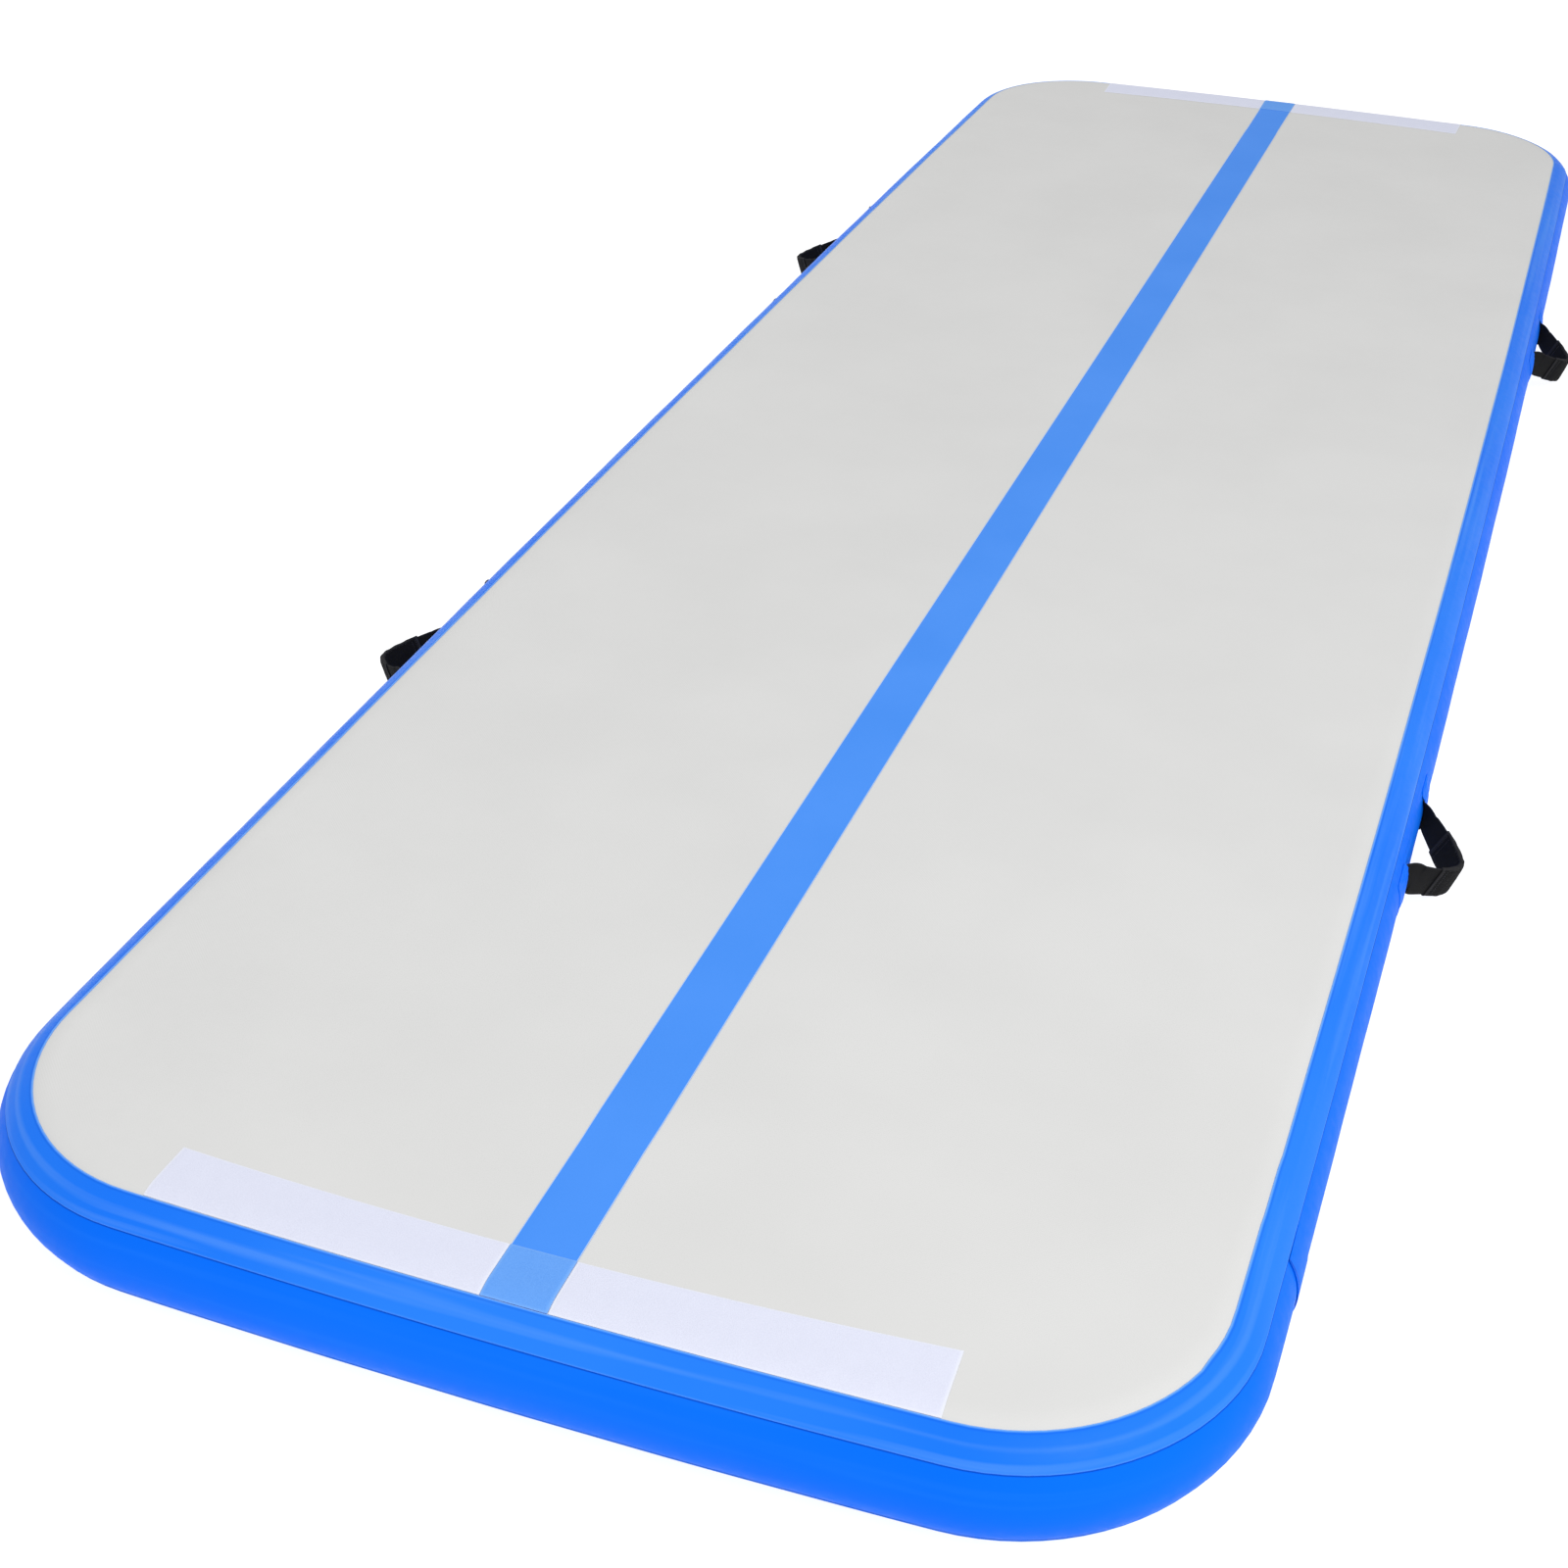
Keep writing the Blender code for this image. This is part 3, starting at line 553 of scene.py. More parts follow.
def build_walls():
    """The side wall in two lengths that meet at two corners, under the joint tapes."""
    right = nearest_station(1, WALL_JOINTS[0])
    left = nearest_station(-1, WALL_JOINTS[1])
    phis = stops((SEAM_PHI + 0.2, 50.5, 3), (50.5, 55.0, 9), (55.0, 125.0, 35),
                 (125.0, 129.5, 9), (129.5, 180 - SEAM_PHI - 0.2, 3))
    # A painted shadow line on the wall just past each band's edge, drawn in the wall's dark
    # colour.
    from_shadow_line = np.minimum(np.abs(phis - BAND_END - SHADOW_LINE_PAST_BAND),
                           np.abs(phis - 180 + BAND_END + SHADOW_LINE_PAST_BAND))
    painted_shadow = np.exp(-(from_shadow_line / 0.55) ** 2)
    runs = {"side_wall_right_far": np.arange(right, left + 1),
            "side_wall_left_near": np.arange(left, right + STATIONS + 1)}
    walls = {}
    for node, run in runs.items():
        run = run % STATIONS
        grid = layer(BASE[run], WAY[run], phis, EDGE_R - CLOTH_T, EDGE_R, 1.0)
        for end, step in ((0, 1), (-1, -1)):
            inward = (grid[end + step] - grid[end]) * 0.06
            grid[end] += inward
        trim_and_painted_light = np.broadcast_to(-0.9 * painted_shadow, (len(run), len(phis)))
        values = {"trim_and_painted_light": both_faces(trim_and_painted_light), "around": around(phis, len(run))}
        walls[node] = solid(node.replace("side_wall", "wall_strip"), grid, WALL_BLUE, "blue_pvc",
                            stands_for=[node], values=values)
    return walls


def build_bands():
    """The cloth bands welded over the upper and the lower seam, pale at their cut edge, with a
    painted highlight along their other edge.
    """
    phis = stops((BAND_START, BAND_START + 4, 10), (BAND_START + 4, BAND_END - 2, 18),
                 (BAND_END - 2, BAND_END, 5))
    # Across each band: pale at the cut edge, then a lighter strip and a thin darker line, then a
    # painted highlight along the band's other edge.
    trim_and_painted_light = np.interp(phis, BAND_START + np.array([0.0, 0.8, 1.2, 1.6, 2.4, 3.2, 4.0, 30.6, 32.0]),
                     [1.0, 1.0, 0.5, 0.3, -0.35, -0.2, 0.0, 0.0, 0.4])
    right = BASE[:, 0] > HALF_A * 0.98
    jog = 0.9 * right * (1 / (1 + np.exp((BASE[:, 1] + 2.33) / 0.006)))
    jog += 0.6 * right * (1 / (1 + np.exp((BASE[:, 1] + 2.46) / 0.006)))
    wander = 0.18 * np.sin(5.0 * BASE[:, 1] + 3.0 * BASE[:, 0])
    fade = np.clip((35 - phis) / 15, 0, 1)
    for name, flip in (("upper", False), ("lower", True)):
        turns = phis[None, :] + (wander - jog)[:, None] * fade[None, :]
        if flip:
            turns = 180 - turns
        grid = layer(BASE, WAY, turns, OVER_R, OVER_R + TAPE_T, 0.25)
        values = np.broadcast_to(trim_and_painted_light, (STATIONS, len(phis)))
        solid(f"{name}_band_cloth", grid, BAND_BLUE_PAINTED_SHEEN, "band_blue_pvc", ring=True,
              stands_for=[f"{name}_seam_band"],
              values={"trim_and_painted_light": both_faces(values), "around": around(phis, STATIONS)})


def patch(name, side, y_from, y_to, span, corner, rise=None, end_at=None, **options):
    """A patch of blue cloth on the wall with rounded corners, over a span of PHI."""
    middle, half = (y_from + y_to) / 2, (y_to - y_from) / 2
    phi_mid, phi_half = (span[0] + span[1]) / 2, (span[1] - span[0]) / 2
    u = np.sin(np.linspace(-1, 1, max(16, int(half / 0.002))) * math.pi / 2)[:, None]
    v = np.sin(np.linspace(-1, 1, 27) * math.pi / 2)[None, :]
    phi = phi_mid + phi_half * v + 0 * u
    half_tall = math.radians(phi_half) * EDGE_R
    past = np.clip(np.abs(v) * half_tall - (half_tall - corner), 0, corner)
    inset = corner - np.sqrt(np.maximum(corner**2 - past**2, 0))
    y = middle + u * (half - inset)
    if end_at is not None:
        y = end_at(u, phi)
    base, way = side_line(side, y)
    radius = OVER_R + relief(base, phi)
    if rise is not None:
        radius = radius + rise(y, phi)
    edge = np.minimum(1 - np.abs(u), 1 - np.abs(v))
    top = radius + TAPE_T * np.where(edge < 1e-6, 0.3, 1.0)
    outside = on_edge(base, way, phi, top)
    inside = on_edge(base, way, phi, radius)
    grid = np.concatenate([outside, inside[:, ::-1]], axis=1)
    trim_and_painted_light = both_faces(np.where(edge < 1e-6, 0.5, 0.0) + 0 * phi)
    arc = np.radians(phi) * EDGE_R
    return solid(name, grid, WALL_BLUE, "blue_pvc", values={
        "trim_and_painted_light": trim_and_painted_light, "around": np.concatenate([arc, arc[:, ::-1]], axis=1)}, **options)


def build_joint_tapes():
    """Where the wall's two lengths overlap. One end shows; the other is feathered flat."""
    for name, side, at in (("right", 1, WALL_JOINTS[0]), ("left", -1, WALL_JOINTS[1])):
        way = -side
        shown, hidden = at + way * 0.016, at - way * 0.062

        def sag(u, phi, shown=shown, hidden=hidden, way=way):
            bow = 0.004 * np.cos(np.radians((phi - 90) * 2.3))
            return np.where(u * way > 0, shown + way * bow, hidden) * np.abs(u) + (
                (shown + hidden) / 2 * (1 - np.abs(u)))

        def feather(y, phi, shown=shown, hidden=hidden):
            part = np.clip((y - hidden) / (shown - hidden), 0, 1)
            return 0.0009 * part - GAP * 0.8 * (1 - part)

        span = (BAND_END + LAP_INSET, 180 - BAND_END - LAP_INSET)
        lap = patch(f"wall_overlap_{name}", side, min(shown, hidden), max(shown, hidden), span,
                    corner=0.0015, rise=feather, end_at=sag,
                    stands_for=[f"wall_joint_tape_{name}"])
        values = lap.data.attributes["trim_and_painted_light"].data
        for vert, value in zip(lap.data.vertices, values):
            y = (lap.matrix_world @ vert.co).y
            near_end = 1 - min(abs(y - shown) / 0.0035, 1)
            value.value = -0.9 * near_end


# ---- stripe and hook-and-loop -----------------------------------------------------------
def end_surface(end, x, reach, lift):
    """Points on the top near one end. Reach is measured out from the flat panel's edge."""
    base, way = end_line(end, x)
    phi = np.degrees(np.maximum(reach, 0) / EDGE_R)
    points = on_edge(base, way, phi, EDGE_R + lift + relief(base, phi) * np.minimum(phi / 20, 1))
    flat = base + way * np.minimum(reach, 0)[..., None]
    points[..., :2] += flat - base
    points[..., 2] += top_wave(points[..., 0], points[..., 1]) * (reach <= 0)
    return points


BAND_REACH = math.radians(BAND_START - 0.4) * EDGE_R


def build_stripe():
    """The stripe down the middle, turned over both ends as far as the bands."""
    across = np.array([-1, -0.985, -0.97, -0.6, -0.2, 0.2, 0.6, 0.97, 0.985, 1]) * STRIPE_HALF
    reach = np.linspace(BAND_REACH, -0.3, 40)
    rows = [("end", -1, r) for r in reach]
    rows += [("flat", 0, y) for y in np.linspace(-2.58, 2.58, 180)]
    rows += [("end", 1, r) for r in reach[::-1]]
    grid = []
    for kind, end, at in rows:
        section = []
        for lift, xs in ((GAP + 0.0006, across), (GAP, across[::-1])):
            if kind == "end":
                points = end_surface(end, xs, np.full(len(xs), at), lift)
            else:
                ys = np.full(len(xs), at)
                points = np.column_stack([xs, ys, 2 * EDGE_R + lift + top_wave(xs, ys)])
            section.append(points)
        grid.append(np.concatenate(section))
    trim_and_painted_light = np.tile(np.where(np.abs(across) > 0.975 * STRIPE_HALF, 0.8, 0.0), (len(rows), 1))
    solid("centre_stripe_cloth", np.array(grid), STRIPE_BLUE, "stripe_blue",
          stands_for=["centre_stripe"], values={"trim_and_painted_light": both_faces(trim_and_painted_light)})


def build_tape(name, node, end, x_from, x_to, inner, outer, low, look, slot):
    """One length of hook-and-loop tape, cut straight, with a pile that isn't quite even."""
    xs = np.linspace(x_from, x_to, max(8, int(abs(x_to - x_from) / 0.005)))
    parts = np.concatenate([[0, 0.015, 0.04], np.linspace(0.09, 0.91, 16), [0.96, 0.985, 1]])
    x, part = np.meshgrid(xs, parts, indexing="ij")
    edge_y = np.abs(end_line(end, x)[0][..., 1])
    start = inner(x) - edge_y
    stop = np.minimum(outer(x) - edge_y, BAND_REACH)
    reach = start + (stop - start) * part
    pile = np.random.default_rng(len(name)).normal(0, 0.00012, x.shape)
    ends = np.minimum(x - x_from, x_to - x)
    rim = np.minimum(np.minimum(part, 1 - part) * 0.1, ends)
    thick = HOOK_T * np.clip(0.45 + rim / 0.004, 0.45, 1.0) + pile * (rim > 0.003)
    outside = end_surface(end, x, reach, low - EDGE_R + thick)
    inside = end_surface(end, x, reach, np.full(x.shape, low - EDGE_R))
    grid = np.concatenate([outside, inside[:, ::-1]], axis=1)
    trim_and_painted_light = both_faces(np.clip(1 - rim / 0.003, 0, 1) * 0.9)
    solid(name, grid, look, slot, stands_for=[node], values={"trim_and_painted_light": trim_and_painted_light})


def build_tapes():
    """White tape each side of the stripe and a blue piece across it, at both ends."""
    spans = {"left": (-0.58, -STRIPE_HALF - 0.001), "right": (STRIPE_HALF + 0.001, 0.597)}
    edges = {      # which end, then how far along the mat the two cut edges are at each x
        "near": (-1, lambda x: 2.886 - 0.022 * (x + 0.1) ** 2 / 0.36,
                 lambda x: 2.990 - 0.012 * (x + 0.05) ** 2 / 0.36),
        "far": (1, lambda x: 2.866 - 0.020 * x * x / 0.36, lambda x: 2.975),
    }
    for end_name, (end, inner, outer) in edges.items():
        for side, (x_from, x_to) in spans.items():
            build_tape(f"{end_name}_{side}_hook_pile", f"{end_name}_{side}_hook_tape", end,
                       x_from, x_to, inner, outer, OVER_R, HOOK_WHITE, "hook_white")
        build_tape(f"{end_name}_centre_loop_pile", f"{end_name}_centre_loop_tape", end,
                   -STRIPE_HALF, STRIPE_HALF, inner, outer, OVER_R + 0.0009, LOOP_BLUE,
                   "loop_blue")


# ---- carry handles ----------------------------------------------------------------------
DROOP = {"right": math.radians(33), "left": math.radians(22)}
STRAP_HALF_WIDTH = 0.031
STRAP_HALF_T = 0.0013
STRAP_LEAN = math.radians(18)   # of the strap's width from upright, at the grip
TAIL = 0.052                    # sewn end of the strap that lies under its patch
LOOP_SPANS = {"right": (0.119, 0.109), "left": (0.106, 0.098)}  # middle to near and far end
LOOP_DRIFT = {"near_right": -0.014, "far_right": -0.004, "near_left": -0.004,
              "far_left": -0.004}     # of each strap along the wall, from its joint
LOOP_TIP = 0.0900               # from the swing axis to the middle of the grip
TAIL_OUT = -0.0013              # of the sewn ends, from the axis that the loop swings on
SLEEVE_PART = (0.30, 0.72)      # of the strap's length, covered by the grip
STITCH_R = 0.00045


def smoothstep(value):
    value = min(max(value, 0.0), 1.0)
    return value * value * (3 - 2 * value)


def bend(points, steps):
    """Points on a cubic curve through four control points."""
    first, second, third, last = (Vector(point) for point in points)
    found = []
    for i in range(steps):
        s = i / steps
        found.append(first * (1 - s)**3 + second * 3 * (1 - s)**2 * s
                     + third * 3 * (1 - s) * s * s + last * s**3)
    return found


def loop_path(hand):
    """(outward, along) down the strap: two nearly straight legs and a round tip."""
    span_near, span_far = LOOP_SPANS[hand]
    near = bend([(TAIL_OUT, -span_near), (0.010, 0.016 - span_near), (LOOP_TIP, -0.040),
                 (LOOP_TIP, 0.0)], 44)
    far = bend([(LOOP_TIP, 0.0), (LOOP_TIP, 0.026), (0.012, span_far - 0.014),
                (TAIL_OUT, span_far)], 44)
    return near + far[1:]


def strap_frames(place):
    """(centre, along, width way, face way, distance, hug) down the middle of a strap."""
    pivot = HANDLES[place]
    side = math.copysign(1, pivot.x)
    middle = pivot.y + LOOP_DRIFT[place]
    hand = place.split("_")[1]
    tilted = Matrix.Rotation(side * DROOP[hand], 3, "Y")
    span_near, span_far = LOOP_SPANS[hand]
    sewn = ((middle - span_near, -1), (middle + span_far, 1))
    tails = []
    for at, sign in sewn:
        tail = []
        for k in range(10):
            y = at + sign * TAIL * k / 9
            reach = abs(side_line(side, [y])[0][0][0]) + EDGE_R + 0.0018
            tail.append((Vector((side * reach, y, EDGE_R)), 1.0))
        tails.append(tail)
    loop = []
    for outward, along in loop_path(hand)[1:]:
        spot = tilted @ Vector((side * outward, 0, 0))
        ease = smoothstep((outward - TAIL_OUT) / 0.02)
        centre = Vector((pivot.x + side * outward, middle + along, EDGE_R))
        swung = Vector((pivot.x + spot.x, middle + along, EDGE_R + spot.z))
        loop.append((centre.lerp(swung, ease), 1 - ease))
    run = tails[0][::-1] + loop + tails[1]
    frames, travelled = [], 0.0
    for i, (centre, hug) in enumerate(run):
        before, after = run[max(i - 1, 0)][0], run[min(i + 1, len(run) - 1)][0]
        tangent = (after - before).normalized()
        lean = STRAP_LEAN * smoothstep((abs(centre.x) - abs(pivot.x)) / 0.05)
        width = Matrix.Rotation(side * lean, 3, "Y") @ Vector((0, 0, 1))
        width = (width - tangent * width.dot(tangent)).normalized()
        face = tangent.cross(width) * side
        travelled += (centre - before).length
        frames.append((centre, tangent, width, face, travelled, hug))
    return frames


def wall_drop(up):
    """How far the round wall falls away at a height above or below its middle."""
    return EDGE_R - math.sqrt(EDGE_R**2 - up * up)


def sweep(frames, section):
    """Rows of points: the section's (face way, width way) offsets at each frame."""
    return np.array([
        [tuple(centre + face * (out - hug * wall_drop(up)) + width * up)
         for out, up in section(i)]
        for i, (centre, _, width, face, _, hug) in enumerate(frames)
    ])


def flat_section(half_width, half_t, columns=15):
    """A strap's section with rounded selvedges, round its outside."""
    places = np.sin(np.linspace(-1, 1, columns) * math.pi / 2)
    thin = half_t * (0.25 + 0.75 * np.sqrt(np.clip(1 - np.abs(places) ** 14, 0, 1)))
    front = [(t, half_width * p) for p, t in zip(places, thin)]
    back = [(-t, half_width * p) for p, t in zip(places[::-1], thin[::-1])]
    return front + back


def build_strap(place):
    """The webbing: its tails stay on the wall and its loop is drawn swung down to the handle's
    droop.
    """
    frames = strap_frames(place)
    outline_points = flat_section(STRAP_HALF_WIDTH, STRAP_HALF_T)
    grid = sweep(frames, lambda i: outline_points)
    along = np.repeat([[spot[4]] for spot in frames], len(outline_points), axis=1)
    across = np.tile([up for _, up in outline_points], (len(frames), 1))
    hem = np.clip((np.abs(across) - 0.0285) / 0.0012, 0, 1) * 0.35
    strap = solid(f"handle_{place}_strap", grid, WEBBING, "webbing_black",
                  stands_for=[f"handle_{place}_webbing"], body=None,
                  values={"along": along, "across": across, "trim_and_painted_light": hem})
    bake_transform(strap)
    return frames


def sleeve_sections(count):
    """Outer sections of the grip: padded in the middle, flat at its two hems."""
    sections = []
    for k in range(count):
        part = k / (count - 1)
        from_end = min(part, 1 - part) * 0.135
        puff = smoothstep((from_end - 0.004) / 0.02)
        half_t = 0.0034 + 0.0028 * puff + 0.0006 * smoothstep(1 - abs(from_end - 0.003) / 0.002)
        half_w = 0.0338 + 0.0006 * math.sin(part * 37.0) * puff
        places = np.linspace(-math.pi, math.pi, 41)[:-1]
        rows = []
        for angle in places:
            c, s = math.cos(angle), math.sin(angle)
            out = math.copysign(abs(c) ** 0.55, c)
            up = math.copysign(abs(s) ** 0.28, s)
            seam = 0.0009 * math.exp(-((abs(up) - 0.86) / 0.03) ** 2) * puff
            wave = 0.00035 * math.sin(part * 61.0 + 5.0 * up) * puff
            rows.append((out * (half_t - seam + wave), up * half_w))
        sections.append(rows)
    return sections


def build_sleeve(place, frames):
    """A padded tube of cloth round the middle of the strap, with bound ends and stitching."""
    length = frames[-1][4]
    start, stop = SLEEVE_PART
    middle = [spot for spot in frames if start * length < spot[4] < stop * length]
    outer = sleeve_sections(len(middle))
    inner = [[(out / abs(out) * 0.0016 if abs(out) > 1e-9 else 0.0, up * 0.905)
              for out, up in rows] for rows in outer]
    outside = sweep(middle, lambda i: outer[i])
    inside = sweep(middle, lambda i: inner[i])
    grid = np.concatenate([outside, inside[::-1]])
    across = np.array([[up for _, up in rows] for rows in outer + inner[::-1]])
    far_along = np.array([spot[4] for spot in middle])
    along = np.repeat(np.concatenate([far_along, far_along[::-1]])[:, None], across.shape[1], 1)
    ends = np.minimum(along - far_along[0], far_along[-1] - along)
    bound = np.clip((np.abs(across) - 0.0305) / 0.0015, 0, 1) * 0.45
    # Paler along the bound edges, and a painted highlight on the ridge beside each hem's
    # stitching.
    hem = np.maximum(np.exp(-((ends - 0.0035) / 0.0016) ** 2) * 0.7, bound)
    rows, columns = grid.shape[:2]
    sleeve = make_piece(f"handle_{place}_grip", grid, quads(rows, columns, True, True), SLEEVE,
                        "webbing_black", body=f"handle_{place}_loop",
                        stands_for=[f"handle_{place}_grip_sleeve"],
                        values={"along": along, "across": across, "trim_and_painted_light": np.clip(hem, 0, 1)})
    build_stitches(f"handle_{place}_stitching", stitch_places(middle, outer),
                   f"handle_{place}_loop")


def stitch_places(frames, sections):
    """(from, to) of each stitch: two rows at each end of the grip, one along each edge."""
    found = []
    half = [max(out for out, _ in rows) for rows in sections]
    for row in (2, 4, len(frames) - 5, len(frames) - 3):
        centre, _, width, face, _, _ = frames[row]
        for front in (1, -1):
            for k in range(-6, 7):
                spot = centre + face * front * (half[row] + 0.0001) + width * k * 0.0044
                found.append((spot - width * 0.0015, spot + width * 0.0015))
    for edge in (1, -1):
        for front in (1, -1):
            for i in range(5, len(frames) - 6, 2):
                spots = []
                for step in (i, i + 1):
                    centre, _, width, face, _, _ = frames[step]
                    spots.append(centre + face * front * (half[step] * 0.80 - 0.0005)
                                 + width * edge * 0.0290)
                found.append((spots[0].lerp(spots[1], 0.1), spots[0].lerp(spots[1], 1.0)))
    return found


def build_stitches(name, places, body):
    """Thread stitches: a spindle of six sides for each, in one piece."""
    points, faces = [], []
    for start, end in places:
        way = (end - start).normalized()
        first = way.orthogonal().normalized()
        second = way.cross(first)
        offset = len(points)
        points.append(tuple(start))
        for part in (0.25, 0.75):
            ring = start.lerp(end, part)
            for k in range(6):
                turn = math.pi * k / 3
                points.append(tuple(ring + (first * math.cos(turn) + second * math.sin(turn))
                                    * STITCH_R))
        points.append(tuple(end))
        for k in range(6):
            j = (k + 1) % 6
            faces.append((offset, offset + 1 + k, offset + 1 + j))
            faces.append((offset + 1 + k, offset + 7 + k, offset + 7 + j, offset + 1 + j))
            faces.append((offset + 7 + k, offset + 13, offset + 7 + j))
    return make_piece(name, np.array(points), faces, THREAD, "webbing_black", body=body)


def build_handles():
    """Each handle: strap, grip, stitching and a patch over each sewn end."""
    for place, pivot in HANDLES.items():
        side = math.copysign(1, pivot.x)
        frames = build_strap(place)
        build_sleeve(place, frames)
        centre = pivot.y + LOOP_DRIFT[place]
        span_near, span_far = LOOP_SPANS[place.split("_")[1]]
        for end, sign, span in (("near", -1, span_near), ("far", 1, span_far)):
            sewn = centre + sign * span
            inner, outer = sorted((sewn + sign * 0.003, sewn + sign * 0.092))
            middle = sewn + sign * (TAIL / 2)

            def rise(y, phi, middle=middle):
                tail = smooth_box(y - middle, TAIL / 2 + 0.001, 0.010)
                return 0.0028 * tail * smooth_box(phi - 90, 18.4, 3.0)

            patch(f"handle_{place}_{end}_anchor", side, inner, outer, PATCH_SPAN, corner=0.012,
                  rise=rise, stands_for=[f"handle_{place}_{end}_patch"])


# ---- D-rings ----------------------------------------------------------------------------
def loop_tube(points, radius, plane, sides=14):
    """Rows of points round a closed path that lies in a plane."""
    rows = []
    count = len(points)
    for i in range(count):
        tangent = (points[(i + 1) % count] - points[i - 1]).normalized()
        across = tangent.cross(plane).normalized()
        rows.append([
            tuple(points[i] + (across * math.cos(a) + plane * math.sin(a)) * radius)
            for a in (2 * math.pi * k / sides for k in range(sides))
        ])
    return np.array(rows)


def build_rings():
    """Each D-ring, with its patch and the tab that holds it."""
    for place, pivot in RINGS.items():
        turn = Matrix.Rotation(math.radians(10), 3, "Z")
        half, depth, wire = 0.025, 0.035, 0.0025
        path = [Vector((0, depth * math.sin(math.pi * i / 40), -half * math.cos(math.pi * i / 40)))
                for i in range(41)]
        path += [Vector((0, 0, half * (1 - 2 * i / 16))) for i in range(1, 16)]
        path = [pivot + turn @ point for point in path]
        grid = loop_tube(path, wire, turn @ Vector((1, 0, 0)))
        solid(f"d_ring_{place}_loop", grid, RING_BLACK, "ring_black", ring=True,
              body=f"d_ring_{place}_loop", stands_for=[f"d_ring_{place}_ring"], sharp=60.0)
        patch(f"d_ring_{place}_base", -1, pivot.y - 0.065, pivot.y + 0.035, PATCH_SPAN,
              corner=0.010, stands_for=[f"d_ring_{place}_patch"])
        build_tab(place, pivot)


def build_tab(place, pivot):
    """A fold of cloth that holds the ring's bar: up from the patch, round the bar and back."""
    back = abs(pivot.x) - (abs(side_line(-1, [pivot.y])[0][0][0]) + EDGE_R + GAP + TAPE_T)
    inner = 0.0031
    outside = [(back - 0.0003, -0.046), (back - 0.0003, -0.030), (back - 0.0003, -0.012),
               (back - 0.0003, 0.0)]
    outside += [((inner + 0.0015) * math.cos(a), (inner + 0.0015) * math.sin(a))
                for a in np.linspace(0, math.pi, 15)]
    outside += [(-(inner + 0.0009) * (1 - t) + (back - 0.0034) * t, -0.046 * t)
                for t in np.linspace(0.12, 1, 9)]
    hole = circle(inner, 32)
    curve = flat_curve(f"d_ring_{place}_fold", 0.0185, 0.0004, outside, hole)
    from_curve(curve, Matrix.Translation(pivot), BAND_BLUE_PAINTED_SHEEN, "blue_pvc", "mat",
               [f"d_ring_{place}_tab"])
    places = []
    wall = pivot.x + back - 0.0009
    for k in range(-4, 5):
        spot = Vector((wall - 0.0045, pivot.y - 0.024, pivot.z + k * 0.0038))
        places.append((spot - Vector((0, 0, 0.0013)), spot + Vector((0, 0, 0.0013))))
    build_stitches(f"d_ring_{place}_stitching", places, "mat")


def circle(radius, steps):
    """Points round a flat circle."""
    return [(radius * math.cos(a), radius * math.sin(a))
            for a in np.linspace(0, 2 * math.pi, steps + 1)[:-1]]


def flat_curve(name, extrude, bevel, *shapes):
    """A flat plate from an outline and its holes, with rounded edges."""
    curve = bpy.data.curves.new(name, "CURVE")
    curve.dimensions = "2D"
    curve.fill_mode = "BOTH"
    curve.extrude = extrude
    curve.bevel_depth = bevel
    for shape in shapes:
        spline = curve.splines.new("POLY")
        spline.points.add(len(shape) - 1)
        for point, (x, y) in zip(spline.points, shape):
            point.co = (x, y, 0, 1)
        spline.use_cyclic_u = True
    return curve


def from_curve(curve, matrix, look, slot, body, nodes):
    """A curve made into a mesh piece."""
    holder = bpy.data.objects.new(curve.name, curve)
    bpy.context.scene.collection.objects.link(holder)
    bpy.context.view_layer.update()
    graph = bpy.context.evaluated_depsgraph_get()
    mesh = bpy.data.meshes.new_from_object(holder.evaluated_get(graph))
    mesh.transform(matrix)
    points = np.array([vert.co[:] for vert in mesh.vertices])
    faces = [tuple(polygon.vertices) for polygon in mesh.polygons]
    name = curve.name
    bpy.data.objects.remove(holder)
    bpy.data.curves.remove(curve)
    bpy.data.meshes.remove(mesh)
    return make_piece(name, points, faces, look, slot, body=body, stands_for=nodes)


# ---- inflation valve --------------------------------------------------------------------
VALVE_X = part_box("valve_cap_o_ring")[1].x + 0.0013
VALVE_Z = (VALVE_LOW.z + VALVE_HIGH.z) / 2
VALVE_HOLE_R = 0.0235
TURN_STEPS = 96


def turned(name, profile, look, slot, body, nodes, knurl=None, closed=True):
    """A turned piece on the valve's axis. The profile is (radius, height out from the wall)."""
    turns = 2 * math.pi * np.arange(TURN_STEPS) / TURN_STEPS
    rows = []
    for k, turn in enumerate(turns):
        row = []
        for radius, height in profile:
            if knurl and radius > knurl[0] - 1e-6:
                radius -= knurl[1] * (k % 4 >= 2)
            row.append((VALVE_X - height, VALVE_Y + radius * math.cos(turn),
                        VALVE_Z + radius * math.sin(turn)))
        rows.append(row)
    grid = np.array(rows)
    faces = quads(TURN_STEPS, len(profile), True, closed)
    return make_piece(name, grid, faces, look, slot, body=body, stands_for=nodes, sharp=32.0)


